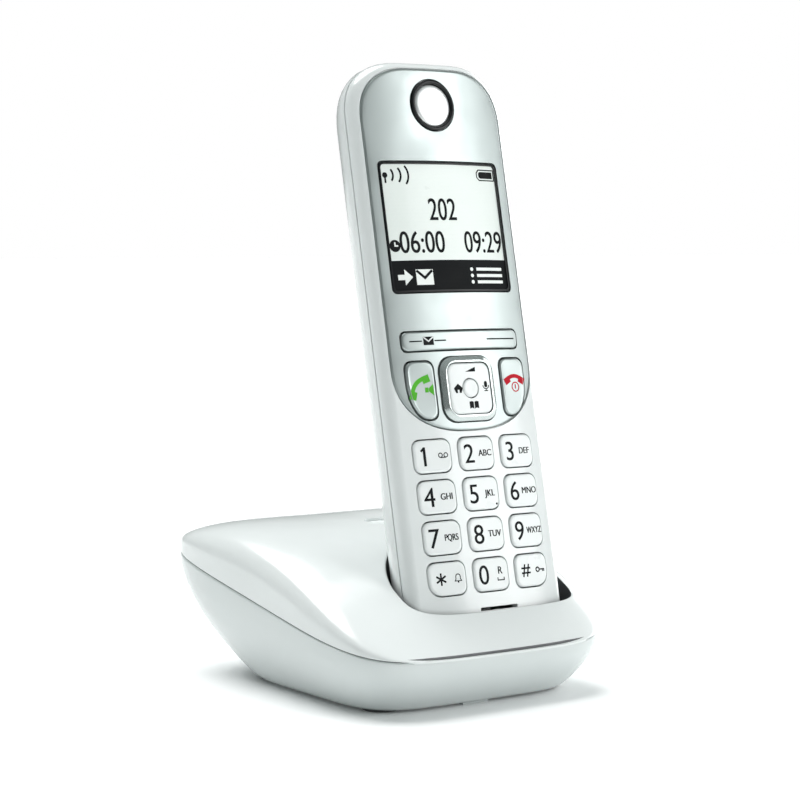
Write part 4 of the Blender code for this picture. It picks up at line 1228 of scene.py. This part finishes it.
def make_nav_key(look):
    """Bright bevelled frame round a white plateau, with the bore for the select key."""
    place = node_middle("nav_key")
    slope = [even(-NAV_PROUD + 0.02, 1.35), even(-NAV_PROUD, 1.2), even(-NAV_PROUD + 0.08, 1.0),
             even(-NAV_PROUD + 0.55, 0.25), even(-NAV_PROUD + 0.75, 0.04), even(-0.02, 0.0),
             even(3.0, 0.0, 0.0)]
    rim = carved(nav_plate(0.0, slope), nav_plate(NAV_FRAME, [even(-3.0, 0.0), even(0.5, 0.0)]))
    radius = node_size("select_key").x / 2
    bore = turned([(radius + 0.25, -4.0), (radius + 0.25, 8.0)], "Y", 64, (0.0, 0.0, place.z))
    rim = carved(rim, bore)
    piece("nav_rim", rim, look["chrome"], "nav_key", ("nav_key",))
    groove = nav_plate(NAV_FRAME - 0.05, [even(-0.25, 0.0), even(0.5, 0.0)])
    bore = turned([(radius + 0.3, -4.0), (radius + 0.3, 8.0)], "Y", 64, (0.0, 0.0, place.z))
    piece("nav_groove", carved(groove, bore), look["rubber"], "nav_key")
    top = [even(-NAV_PROUD + 0.05, 0.45), even(-NAV_PROUD + 0.1, 0.2), even(-NAV_PROUD + 0.25, 0.05),
           even(-NAV_PROUD + 0.5, 0.0), even(0.5, 0.0)]
    plateau = nav_plate(NAV_FRAME + 0.3, top)
    bore = turned([(radius + 0.3, -4.0), (radius + 0.3, 8.0)], "Y", 64, (0.0, 0.0, place.z))
    piece("nav_plateau", carved(plateau, bore), look["key"], "nav_key")
    top = -NAV_PROUD - 0.07
    profile = [(radius, 3.2), (radius, top + 0.35), (radius - 0.12, top + 0.17), (radius - 0.35, top + 0.05)]
    profile += [((radius - 0.5) * (1 - i / 6), top + 0.1 * (i / 6)) for i in range(6)]
    piece("select_cap", turned(profile, "Y", 64, (0.0, 0.0, place.z)), look["key"], "select_key",
          ("select_key",))


def make_mat_domes(look):
    """Raised rubber domes of the keypad mat, one under each key."""
    domes = []
    low, _ = node_box("keypad_mat")
    for node in KEY_NODES + ("talk_key", "end_key"):
        place = node_middle(node)
        front = max(node_box(node)[1].y + 1.1, 4.3)
        if front > low.y:
            continue
        profile = [(2.6, low.y + 0.1), (2.4, (front + low.y) / 2), (1.4, front)]
        domes.append(turned(profile, "Y", 24, (place.x, 0.0, place.z)))
    piece("mat_domes", merged(domes), look["rubber"], "handset")


# ---------------------------------------------------------------- printing

def prism(loop, front=-PRINT_PROUD, back=PRINT_SUNK):
    """A thin closed body from a flat outline (x, z)."""
    shape = bmesh.new()
    near = [shape.verts.new((x, front, z)) for x, z in loop]
    far = [shape.verts.new((x, back, z)) for x, z in loop]
    shape.faces.new(near)
    shape.faces.new(list(reversed(far)))
    bridge(shape, near, far)
    bmesh.ops.triangulate(shape, faces=shape.faces)
    return shape


def stroke(points, width):
    """A line of even width through points (x, z), with mitred corners."""
    path = [Vector(point) for point in points]
    shape = bmesh.new()
    rings = []
    for i, here in enumerate(path):
        into = (here - path[max(0, i - 1)]).normalized()
        away = (path[min(len(path) - 1, i + 1)] - here).normalized()
        along = (into + away).normalized()
        side = Vector((-along.y, along.x)) * width / 2 / max(0.5, along.dot(away if i == 0 else into))
        corners = [(here + side, -PRINT_PROUD), (here - side, -PRINT_PROUD), (here - side, PRINT_SUNK),
                   (here + side, PRINT_SUNK)]
        rings.append([shape.verts.new((at.x, depth, at.y)) for at, depth in corners])
    for near, far in zip(rings, rings[1:]):
        bridge(shape, near, far)
    shape.faces.new(rings[0])
    shape.faces.new(rings[-1][::-1])
    return shape


def arc_points(centre, radius, start, stop, steps=16):
    """Points along an arc; angles in degrees."""
    points = []
    for i in range(steps + 1):
        angle = radians(start + (stop - start) * i / steps)
        points.append((centre[0] + radius * cos(angle), centre[1] + radius * sin(angle)))
    return points


def disc(centre, radius):
    """A flat round spot."""
    return prism(arc_points(centre, radius, 0, 360 - 360 / 24, 23))


def hoop(centre, radius, width):
    """A flat ring."""
    rings = []
    for edge, depth in ((radius + width / 2, -PRINT_PROUD), (radius - width / 2, -PRINT_PROUD),
                        (radius - width / 2, PRINT_SUNK), (radius + width / 2, PRINT_SUNK)):
        turns = [2 * pi * i / 32 for i in range(32)]
        rings.append([(centre[0] + edge * cos(turn), depth, centre[1] + edge * sin(turn)) for turn in turns])
    return tube(rings)


def bar(centre, wide, tall):
    """A flat rectangle."""
    x, z = centre
    w, t = wide / 2, tall / 2
    return prism([(x - w, z - t), (x + w, z - t), (x + w, z + t), (x - w, z + t)])


def rule(start, stop, z, width):
    """A level line, in short lengths so that it follows a bowed face."""
    steps = max(1, round(stop - start))
    return stroke([(start + (stop - start) * i / steps, z) for i in range(steps + 1)], width)


FONT_CAP = 0.69


def lettering(text, centre, tall, squeeze=1.0, bold=0.0):
    """Characters around a centre (x, z); a second impression beside the first makes them bolder."""
    curve = bpy.data.curves.new("lettering", type="FONT")
    curve.body = text
    curve.extrude = 0.02
    curve.resolution_u = 5
    holder = linked(bpy.data.objects.new("lettering", curve))
    bpy.context.view_layer.update()
    mesh = bpy.data.meshes.new_from_object(holder)
    bpy.data.objects.remove(holder)
    bpy.data.curves.remove(curve)
    shape = bmesh.new()
    shape.from_mesh(mesh)
    bpy.data.meshes.remove(mesh)
    bmesh.ops.remove_doubles(shape, verts=shape.verts, dist=1e-5)
    xs = [v.co.x for v in shape.verts]
    scale = tall / FONT_CAP
    for vertex in shape.verts:
        x = (vertex.co.x - (min(xs) + max(xs)) / 2) * scale * squeeze
        z = (vertex.co.y - FONT_CAP / 2) * scale
        y = -PRINT_PROUD if vertex.co.z > 0 else PRINT_SUNK
        vertex.co = (centre[0] + x, y, centre[1] + z)
    again = shape.copy()
    bmesh.ops.translate(shape, verts=shape.verts, vec=(-bold / 2, 0.0, 0.0))
    bmesh.ops.translate(again, verts=again.verts, vec=(bold / 2, -0.003, 0.0))
    return merged([shape, again])


def one_flag(foot, tall, width):
    """The flag at the head of a plain figure one."""
    x, z = foot
    return stroke([(x - 0.2 * tall, z + 0.78 * tall), (x + 0.03 * tall, z + 0.97 * tall)], width)


def printed(name, shapes, surface, body, node, level, dish=0.0):
    """Lay flat shapes on a node's bowed or dished face, around its middle."""
    shape = merged(shapes)
    place = node_middle(node)
    for vertex in shape.verts:
        vertex.co.x += place.x
        vertex.co.z += place.z
        vertex.co.y += level + face_bow(vertex.co.x) + hollow(node, vertex.co.x, vertex.co.z, dish)
    piece(name, shape, surface, body)


def envelope(centre, wide, tall, flap):
    """An envelope: a body and its flap's folds, as two sets of shapes."""
    x, z = centre
    w, t = wide / 2, tall / 2
    fold = [(x - w * 0.92, z + t * 0.86), (x, z - t * 0.1), (x + w * 0.92, z + t * 0.86)]
    return [bar(centre, wide, tall)], [stroke(fold, flap)]


def raised(shapes, lift=PRINT_PROUD):
    """Shapes moved a little towards the viewer, to lie over other printing."""
    for shape in shapes:
        for vertex in shape.verts:
            vertex.co.y -= lift
    return shapes


def make_display_print(look):
    """Aerial, battery, clock and list signs, with plain digits."""
    dark = [disc((-17.2, 13.8), 0.75), bar((-17.2, 12.8), 0.5, 2.2)]
    for x, tall in ((-15.1, 3.0), (-12.8, 3.7), (-10.5, 4.8)):
        radius = tall * 0.75
        dark.append(stroke(arc_points((x - radius + 0.3, 13.8), radius, -42, 42, 12), 0.55))
    x, z = 15.1, 14.15
    outline = [(x + 3.0, z - 1.4), (x - 2.2, z - 1.4), (x - 2.95, z - 0.6), (x - 2.95, z + 0.6),
               (x - 2.2, z + 1.4), (x + 3.0, z + 1.4), (x + 3.0, z - 1.5)]
    dark.append(stroke(outline, 0.32))
    dark.append(prism([(x - 2.3, z - 0.5), (x - 1.8, z - 0.9), (x + 2.5, z - 0.9), (x + 2.5, z + 0.9),
                       (x - 1.8, z + 0.9), (x - 2.3, z + 0.5)]))
    dark.append(lettering("202", (-0.8, 4.7), 5.8, 0.72, 0.15))
    dark.append(lettering("06:00", (-8.3, -3.95), 5.7, 0.77, 0.15))
    dark.append(lettering("09:29", (11.6, -3.95), 5.7, 0.72, 0.15))
    dark.append(disc((-16.7, -4.9), 1.6))
    level = DISPLAY_LEVEL
    printed("display_signs", dark, look["lcd_ink"], "handset", "display_window", level)

    light = [stroke([(-16.7, -3.9), (-16.7, -4.9), (-15.8, -4.9)], 0.4)]
    light.append(prism([(-12.5, -13.2), (-14.9, -11.1), (-14.9, -12.5), (-16.9, -12.5), (-16.9, -13.9),
                        (-14.9, -13.9), (-14.9, -15.3)]))
    body, folds = envelope((-8.9, -13.25), 5.2, 4.1, 0.7)
    light += body
    for offset in (1.7, 0.0, -1.7):
        light.append(rule(8.0, 16.8, -13.0 + offset, 0.8))
        light.append(disc((6.4, -13.0 + offset), 0.5))
    printed("display_lights", raised(light), look["lcd_light"], "handset", "display_window", level)
    printed("display_folds", raised(folds, 2 * PRINT_PROUD), look["lcd_ink"], "handset",
            "display_window", level)


def handset_sign(centre, reach, thick, turn):
    """A telephone receiver seen from the side: a bowed grip with two ends."""
    spread = 40
    radius = reach / (2 * sin(radians(spread)))
    middle = (0.0, -radius)
    grip = arc_points(middle, radius, 90 + spread, 90 - spread, 18)
    shapes = [stroke(grip, thick)]
    for point, lean in ((grip[0], 28), (grip[-1], -28)):
        c, s = cos(radians(lean)), sin(radians(lean))
        w, t = thick * 0.95, thick * 0.85
        corners = [(-w, -t), (w, -t), (w, t), (-w, t)]
        shapes.append(prism([(point[0] + a * c - b * s, point[1] - 0.25 * thick + a * s + b * c)
                             for a, b in corners], -PRINT_PROUD - 0.002, PRINT_SUNK + 0.002))
    c, s = cos(radians(turn)), sin(radians(turn))
    for shape in shapes:
        for vertex in shape.verts:
            x, z = vertex.co.x, vertex.co.z
            vertex.co.x = centre[0] + x * c - z * s
            vertex.co.z = centre[1] + x * s + z * c
    return shapes


def make_call_print(look):
    """Green receiver and loudspeaker; red receiver and standby ring."""
    green = handset_sign((-0.7, 1.8), 5.8, 1.15, 45)
    green.append(bar((2.3, 0.1), 1.0, 1.3))
    green.append(prism([(2.9, -0.3), (4.3, -1.45), (4.3, 1.65), (2.9, 0.5)]))
    printed("talk_key_print", green, look["green"], "talk_key", "talk_key", -KEY_PROUD,
            KEY_DISH)
    red = handset_sign((0.5, 2.8), 5.0, 1.05, 0)
    red += [hoop((0.7, -0.1), 1.2, 0.32), bar((0.7, 0.0), 0.36, 1.2)]
    printed("end_key_print", red, look["red"], "end_key", "end_key", -KEY_PROUD, KEY_DISH)


def make_bar_print(look):
    """Thin lines and an envelope on the display's rocker bar."""
    shapes = [rule(-16.5, -12.75, 0.0, 0.35), rule(-8.95, -5.4, 0.0, 0.35), rule(7.9, 17.4, 0.0, 0.35)]
    body, folds = envelope((-10.8, 0.0), 3.1, 2.2, 0.34)
    printed("bar_print", shapes + body, look["ink"], "display_key_bar", "display_key_bar",
            -KEY_PROUD)
    printed("bar_print_folds", raised(folds), look["pale_ink"], "display_key_bar",
            "display_key_bar", -KEY_PROUD)


def make_nav_print(look):
    """Volume wedge, house, microphone and open book, and the ring round the select key."""
    shapes = [prism([(-1.2, 4.3), (2.1, 4.3), (2.1, 5.5)])]
    x = -3.95
    shapes.append(prism([(x - 1.4, 0.1), (x, 1.3), (x + 1.4, 0.1), (x + 0.85, 0.1), (x + 0.85, -1.15),
                         (x + 0.28, -1.15), (x + 0.28, -0.3), (x - 0.28, -0.3), (x - 0.28, -1.15),
                         (x - 0.85, -1.15), (x - 0.85, 0.1)]))
    x = 5.0
    shapes.append(prism(arc_points((x, 1.2), 0.5, 0, 180, 8) + arc_points((x, 0.5), 0.5, 180, 360, 8)))
    shapes.append(stroke(arc_points((x, 0.6), 0.95, 180, 360, 12), 0.25))
    shapes += [bar((x, -0.6), 0.25, 0.5), bar((x, -0.85), 1.2, 0.25)]
    x, z = 0.5, -4.4
    for side in (-1, 1):
        page = [(x + 0.12 * side, z - 1.0), (x + 0.12 * side, z + 0.8), (x + 0.7 * side, z + 1.0),
                (x + 1.45 * side, z + 0.85), (x + 1.45 * side, z - 0.95), (x + 0.7 * side, z - 0.75)]
        shapes.append(prism(page))
    printed("nav_print", shapes, look["ink"], "nav_key", "nav_key", -NAV_PROUD + 0.05)


LETTERS = {"key_2": "ABC", "key_3": "DEF", "key_4": "GHI", "key_5": "JKL", "key_6": "MNO",
           "key_7": "PQRS", "key_8": "TUV", "key_9": "WXYZ"}
DIGIT_PLACE = (-2.5, 0.0)
DIGIT_HEIGHT = 4.9
DIGIT_SQUEEZE = 0.98
DIGIT_BOLD = 0.08
LETTER_PLACE = (2.55, 0.0)
LETTER_HEIGHT = 1.65
LETTER_BOLD = 0.12


def star_sign(centre, radius, width):
    """Three crossed strokes."""
    shapes = []
    for i in range(3):
        angle = radians(90 + 60 * i)
        reach = (radius * cos(angle), radius * sin(angle))
        line = stroke([(centre[0] - reach[0], centre[1] - reach[1]),
                       (centre[0] + reach[0], centre[1] + reach[1])], width)
        shapes += raised([line], 0.003 * i)
    return shapes


def hash_sign(centre, size, width):
    """Two upright strokes crossed by two level ones."""
    x, z = centre
    shapes = []
    for side in (-1, 1):
        lean = 0.12 * size
        shapes.append(stroke([(x + side * size * 0.2 - lean, z - size / 2),
                              (x + side * size * 0.2 + lean, z + size / 2)], width))
        shapes += raised([bar((x, z + side * size * 0.19), size * 0.95, width)], 0.003)
    return shapes


def bell_sign(centre, size):
    """A bell with its clapper."""
    x, z = centre
    s = size
    body = [(x - 0.42 * s, z - 0.32 * s), (x - 0.3 * s, z - 0.12 * s)]
    body += arc_points((x, z + 0.15 * s), 0.3 * s, 180, 0, 10)
    body += [(x + 0.3 * s, z - 0.12 * s), (x + 0.42 * s, z - 0.32 * s)]
    brim = bar((x, z - 0.34 * s), 1.0 * s, 0.1 * s)
    return [stroke(body, 0.11 * s), brim, disc((x, z - 0.47 * s), 0.1 * s)]


def key_sign(centre, size):
    """A small key: a ring with a toothed shaft."""
    x, z = centre
    s = size
    shapes = [hoop((x - 0.32 * s, z), 0.2 * s, 0.13 * s), bar((x + 0.2 * s, z), 0.62 * s, 0.12 * s)]
    shapes += [bar((x + 0.28 * s, z - 0.12 * s), 0.1 * s, 0.2 * s),
               bar((x + 0.45 * s, z - 0.12 * s), 0.1 * s, 0.2 * s)]
    return shapes


def make_keypad_print(look):
    """Digits, letters and small signs on the number keys."""
    for node in KEY_NODES:
        mark = node.split("_")[1]
        if mark == "star":
            shapes = star_sign((-2.0, 0.0), 1.6, 0.48) + bell_sign((3.0, 0.0), 2.2)
        elif mark == "hash":
            shapes = hash_sign((-2.0, 0.0), 3.3, 0.45) + key_sign((3.0, 0.0), 2.8)
        else:
            shapes = [lettering(mark, DIGIT_PLACE, DIGIT_HEIGHT, DIGIT_SQUEEZE, DIGIT_BOLD)]
        if node in LETTERS:
            squeeze = 0.72 if len(LETTERS[node]) > 3 else 0.9
            shapes.append(lettering(LETTERS[node], LETTER_PLACE, LETTER_HEIGHT, squeeze, LETTER_BOLD))
        if node == "key_1":
            shapes.append(one_flag((DIGIT_PLACE[0], DIGIT_PLACE[1] - DIGIT_HEIGHT / 2), DIGIT_HEIGHT, 0.55))
            shapes += [hoop((x, 0.1), 0.55, 0.25) for x in (2.2, 3.8)]
            shapes.append(bar((3.0, -0.5), 1.6, 0.25))
        if node == "key_0":
            shapes.append(lettering("R", (2.8, 0.85), 1.9, 0.9, 0.1))
            shapes.append(stroke([(1.8, -1.0), (1.8, -1.7), (3.8, -1.7), (3.8, -1.0)], 0.28))
        if node == "key_5":
            shapes.append(disc((4.4, -3.0), 0.3))
        printed(node + "_print", shapes, look["ink"], node, node, -KEY_PROUD, KEY_DISH)


# ---------------------------------------------------------------- carried-over nodes

def dress_nodes(look):
    """Give every node that stays a finished surface."""
    surfaces = {
        "board": ("base_board", "handset_board"),
        "black": ("line_socket", "power_socket", "microphone", "earpiece_speaker", "paging_switch"),
        "cone": ("loudspeaker",),
        "steel": ("base_screw_left", "base_screw_right", "handset_screw_left", "handset_screw_right"),
        "gold": ("base_contact_left", "base_contact_right", "handset_contact_left",
                 "handset_contact_right", "battery_spring_plate", "battery_end_plate"),
        "rubber": ("keypad_mat", "foot_front_left", "foot_front_right", "foot_rear_left",
                   "foot_rear_right"),
        "sleeve": ("battery_left", "battery_right"),
        "tray": ("nav_actuator",),
        "module": ("lcd_module",),
    }
    for surface, nodes in surfaces.items():
        for node in nodes:
            for slot in frame["nodes"][node].material_slots:
                slot.material = look[surface]


def surfaces():
    """Every finish used."""
    cells_low, cells_high = node_box("battery_left", ROOM)
    return {
        "white": finish("white_gloss_plastic", (0.79, 0.825, 0.82), 0.2, vary=0.012, coat=0.35,
                        relief=0.002, grain=1800.0),
        # A darker copy of the white shell plastic: painted shade for the lower shell.
        "under": finish("lower_shell_painted_shade", (0.66, 0.705, 0.7), 0.2, vary=0.012, coat=0.35,
                        relief=0.002, grain=1800.0),
        "key": finish("key_white_plastic", (0.83, 0.86, 0.855), 0.3, vary=0.01, relief=0.004, coat=0.1),
        "silver": finish("silver_faceplate", (0.385, 0.428, 0.422), 0.34, 0.8, vary=0.015, relief=0.004,
                         stretch=(1.0, 1.0, 0.15), coat=0.1),
        "silver_key": finish("silver_key", (0.41, 0.455, 0.448), 0.33, 0.75, vary=0.012, relief=0.004),
        "chrome": finish("bright_rim", (0.55, 0.6, 0.59), 0.2, 0.85, vary=0.02, relief=0.002),
        "disc": finish("earpiece_silver", (0.8, 0.82, 0.82), 0.3, 0.7, vary=0.02, relief=0.004),
        "black_gloss": finish("black_gloss_plastic", (0.006, 0.007, 0.008), 0.3, vary=0.1, specular=0.25),
        "black": finish("black_plastic", (0.018, 0.018, 0.02), 0.45, vary=0.15, relief=0.02),
        "tray": finish("inner_plastic", (0.5, 0.52, 0.52), 0.5, vary=0.03, relief=0.02),
        "cone": finish("speaker_cone", (0.03, 0.03, 0.032), 0.7, vary=0.2, patch=300.0, relief=0.05),
        "steel": finish("screw_steel", (0.55, 0.55, 0.54), 0.3, 1.0, vary=0.08, patch=300.0, relief=0.01),
        "gold": finish("plated_contact", (0.83, 0.62, 0.28), 0.25, 1.0, vary=0.06, patch=300.0,
                       relief=0.006),
        # Dark rubber for the feet, keypad mat and domes; the same finish on the rings in the seam and round
        # the paging key is painted shade.
        "rubber": finish("rubber", (0.12, 0.125, 0.13), 0.75, vary=0.12, patch=200.0, relief=0.03),
        "board": board_finish("circuit_board"),
        "sleeve": sleeve_finish("battery_sleeve", cells_low.z, cells_high.z),
        "module": finish("display_module", (0.25, 0.27, 0.27), 0.35, 0.6, vary=0.1, relief=0.02),
        "lcd": dot_grid("display_light", (0.8, 0.855, 0.82), (0.7, 0.76, 0.73), 0.34, 0.3, 0.15),
        "lcd_dark": dot_grid("display_dark", (0.006, 0.007, 0.008), (0.015, 0.017, 0.017), 0.34, 0.6, 0.0,
                             0.08),
        "lcd_ink": finish("display_black", (0.01, 0.011, 0.012), 0.6, vary=0.1, patch=200.0, specular=0.08),
        # Near-black finish for the pocket's inside: painted shade, not the cradle's own colour.
        "pocket_shade": finish("pocket_painted_shade", (0.035, 0.038, 0.04), 0.5, vary=0.1, relief=0.01),
        "lcd_light": finish("display_white", (0.83, 0.87, 0.84), 0.3, vary=0.02, patch=200.0),
        "ink": finish("grey_ink", (0.012, 0.013, 0.014), 0.6, vary=0.12, patch=400.0, specular=0.1),
        "pale_ink": finish("pale_ink", (0.8, 0.82, 0.82), 0.5, vary=0.03, patch=400.0),
        "green": finish("green_ink", (0.1, 0.46, 0.04), 0.6, vary=0.08, patch=400.0, specular=0.1),
        "red": finish("red_ink", (0.5, 0.012, 0.025), 0.6, vary=0.08, patch=400.0, specular=0.1),
    }


# ---------------------------------------------------------------- studio

FLOOR_REACH = 12.0
FLOOR_GLOW = 0.03


def make_floor():
    """A wide pale floor that runs off to white."""
    shape = bmesh.new()
    corners = ((-1, -1), (1, -1), (1, 1), (-1, 1))
    shape.faces.new([shape.verts.new((x * FLOOR_REACH, y * FLOOR_REACH, 0.0)) for x, y in corners])
    mesh = solidified(shape, "floor")
    paper = finish("paper_floor", (0.9, 0.91, 0.91), 0.8, vary=0.004, patch=6.0, grain=900.0,
                   relief=0.004, specular=0.1)
    set_inputs(opened(paper)[1], Emission_Color=(1.0, 1.0, 1.0, 1.0), Emission_Strength=FLOOR_GLOW)
    mesh.materials.append(paper)
    linked(bpy.data.objects.new("floor", mesh))


BACKDROP = (1.0, 1.0, 1.0, 1.0)
FILL_LOW = 0.1
FILL_HIGH = 0.4
FILL_TINT = (0.92, 1.0, 0.985, 1.0)


def make_world():
    """White to the camera; a cool fill, brighter overhead, for the object."""
    world = bpy.data.worlds.new("studio")
    bpy.context.scene.world = world
    world.use_nodes = True
    tree = world.node_tree
    tree.nodes.clear()
    seen = add_node(tree, "Background", Color=BACKDROP)
    fill = add_node(tree, "Background", Color=FILL_TINT)
    split = add_node(tree, "SeparateXYZ")
    tree.links.new(add_node(tree, "TexCoord").outputs["Generated"], split.inputs["Vector"])
    strength = link_range(tree, split.outputs["Z"], FILL_LOW, FILL_HIGH, 0.0, 0.9)
    tree.links.new(strength, fill.inputs["Strength"])
    mix = add_node(tree, "MixShader")
    tree.links.new(add_node(tree, "LightPath").outputs["Is Camera Ray"], mix.inputs["Fac"])
    tree.links.new(fill.outputs["Background"], mix.inputs[1])
    tree.links.new(seen.outputs["Background"], mix.inputs[2])
    tree.links.new(mix.outputs["Shader"], add_node(tree, "OutputWorld").inputs["Surface"])


OVERHEAD = ((-60.0, 350.0, 900.0), (0.0, 0.0, 60.0))
OVERHEAD_STRENGTH = 3.1
OVERHEAD_SPREAD = 46
# Place, target, size and power of each softbox
SOFTBOXES = {"front_box": ((660.0, -790.0, 270.0), (8.0, -20.0, 90.0), (400.0, 900.0), 5.4),
             "side_box": ((950.0, 150.0, 330.0), (8.0, -10.0, 70.0), (800.0, 700.0), 5.0)}


def aimed(made, place, target):
    """Put a lamp at a place, looking at a target, in millimetres."""
    made.location = Vector(place) * MM
    made.rotation_euler = (Vector(target) - Vector(place)).to_track_quat("-Z", "Y").to_euler()
    linked(made)


def softbox(name, place, target, size, power):
    """A rectangular area lamp."""
    data = bpy.data.lights.new(name, "AREA")
    data.shape = "RECTANGLE"
    data.size = size[0] * MM
    data.size_y = size[1] * MM
    data.energy = power
    aimed(bpy.data.objects.new(name, data), place, target)


def make_lights():
    """A broad overhead light and two large softboxes, in front and at the right."""
    sky = bpy.data.lights.new("overhead", "SUN")
    sky.energy = OVERHEAD_STRENGTH
    sky.angle = radians(OVERHEAD_SPREAD)
    aimed(bpy.data.objects.new("overhead", sky), *OVERHEAD)
    for name, values in SOFTBOXES.items():
        softbox(name, *values)


def make_camera():
    """Camera at the photograph's viewing angle."""
    data = bpy.data.cameras.new("camera")
    data.lens = CAMERA_LENS
    camera = linked(bpy.data.objects.new("camera", data))
    camera.location = Vector(CAMERA_PLACE) * MM
    camera.rotation_euler = (radians(90 - CAMERA_ELEVATION), 0.0, radians(CAMERA_AZIMUTH))
    bpy.context.scene.camera = camera


def build():
    """Make everything."""
    look = surfaces()
    for make in (make_base_top, make_base_bottom, make_painted_gap_shade, make_paging_key, make_socket_contacts,
                 make_front_cover, make_rear_housing, make_battery_cover, make_battery_tray,
                 make_faceplate, make_earpiece, make_display, make_number_keys, make_function_keys,
                 make_nav_key, make_mat_domes, make_display_print, make_call_print, make_bar_print,
                 make_nav_print, make_keypad_print):
        make(look)
    dress_nodes(look)
    make_floor()
    make_world()
    make_lights()
    make_camera()
    bpy.context.scene.view_settings.view_transform = "Standard"


build()
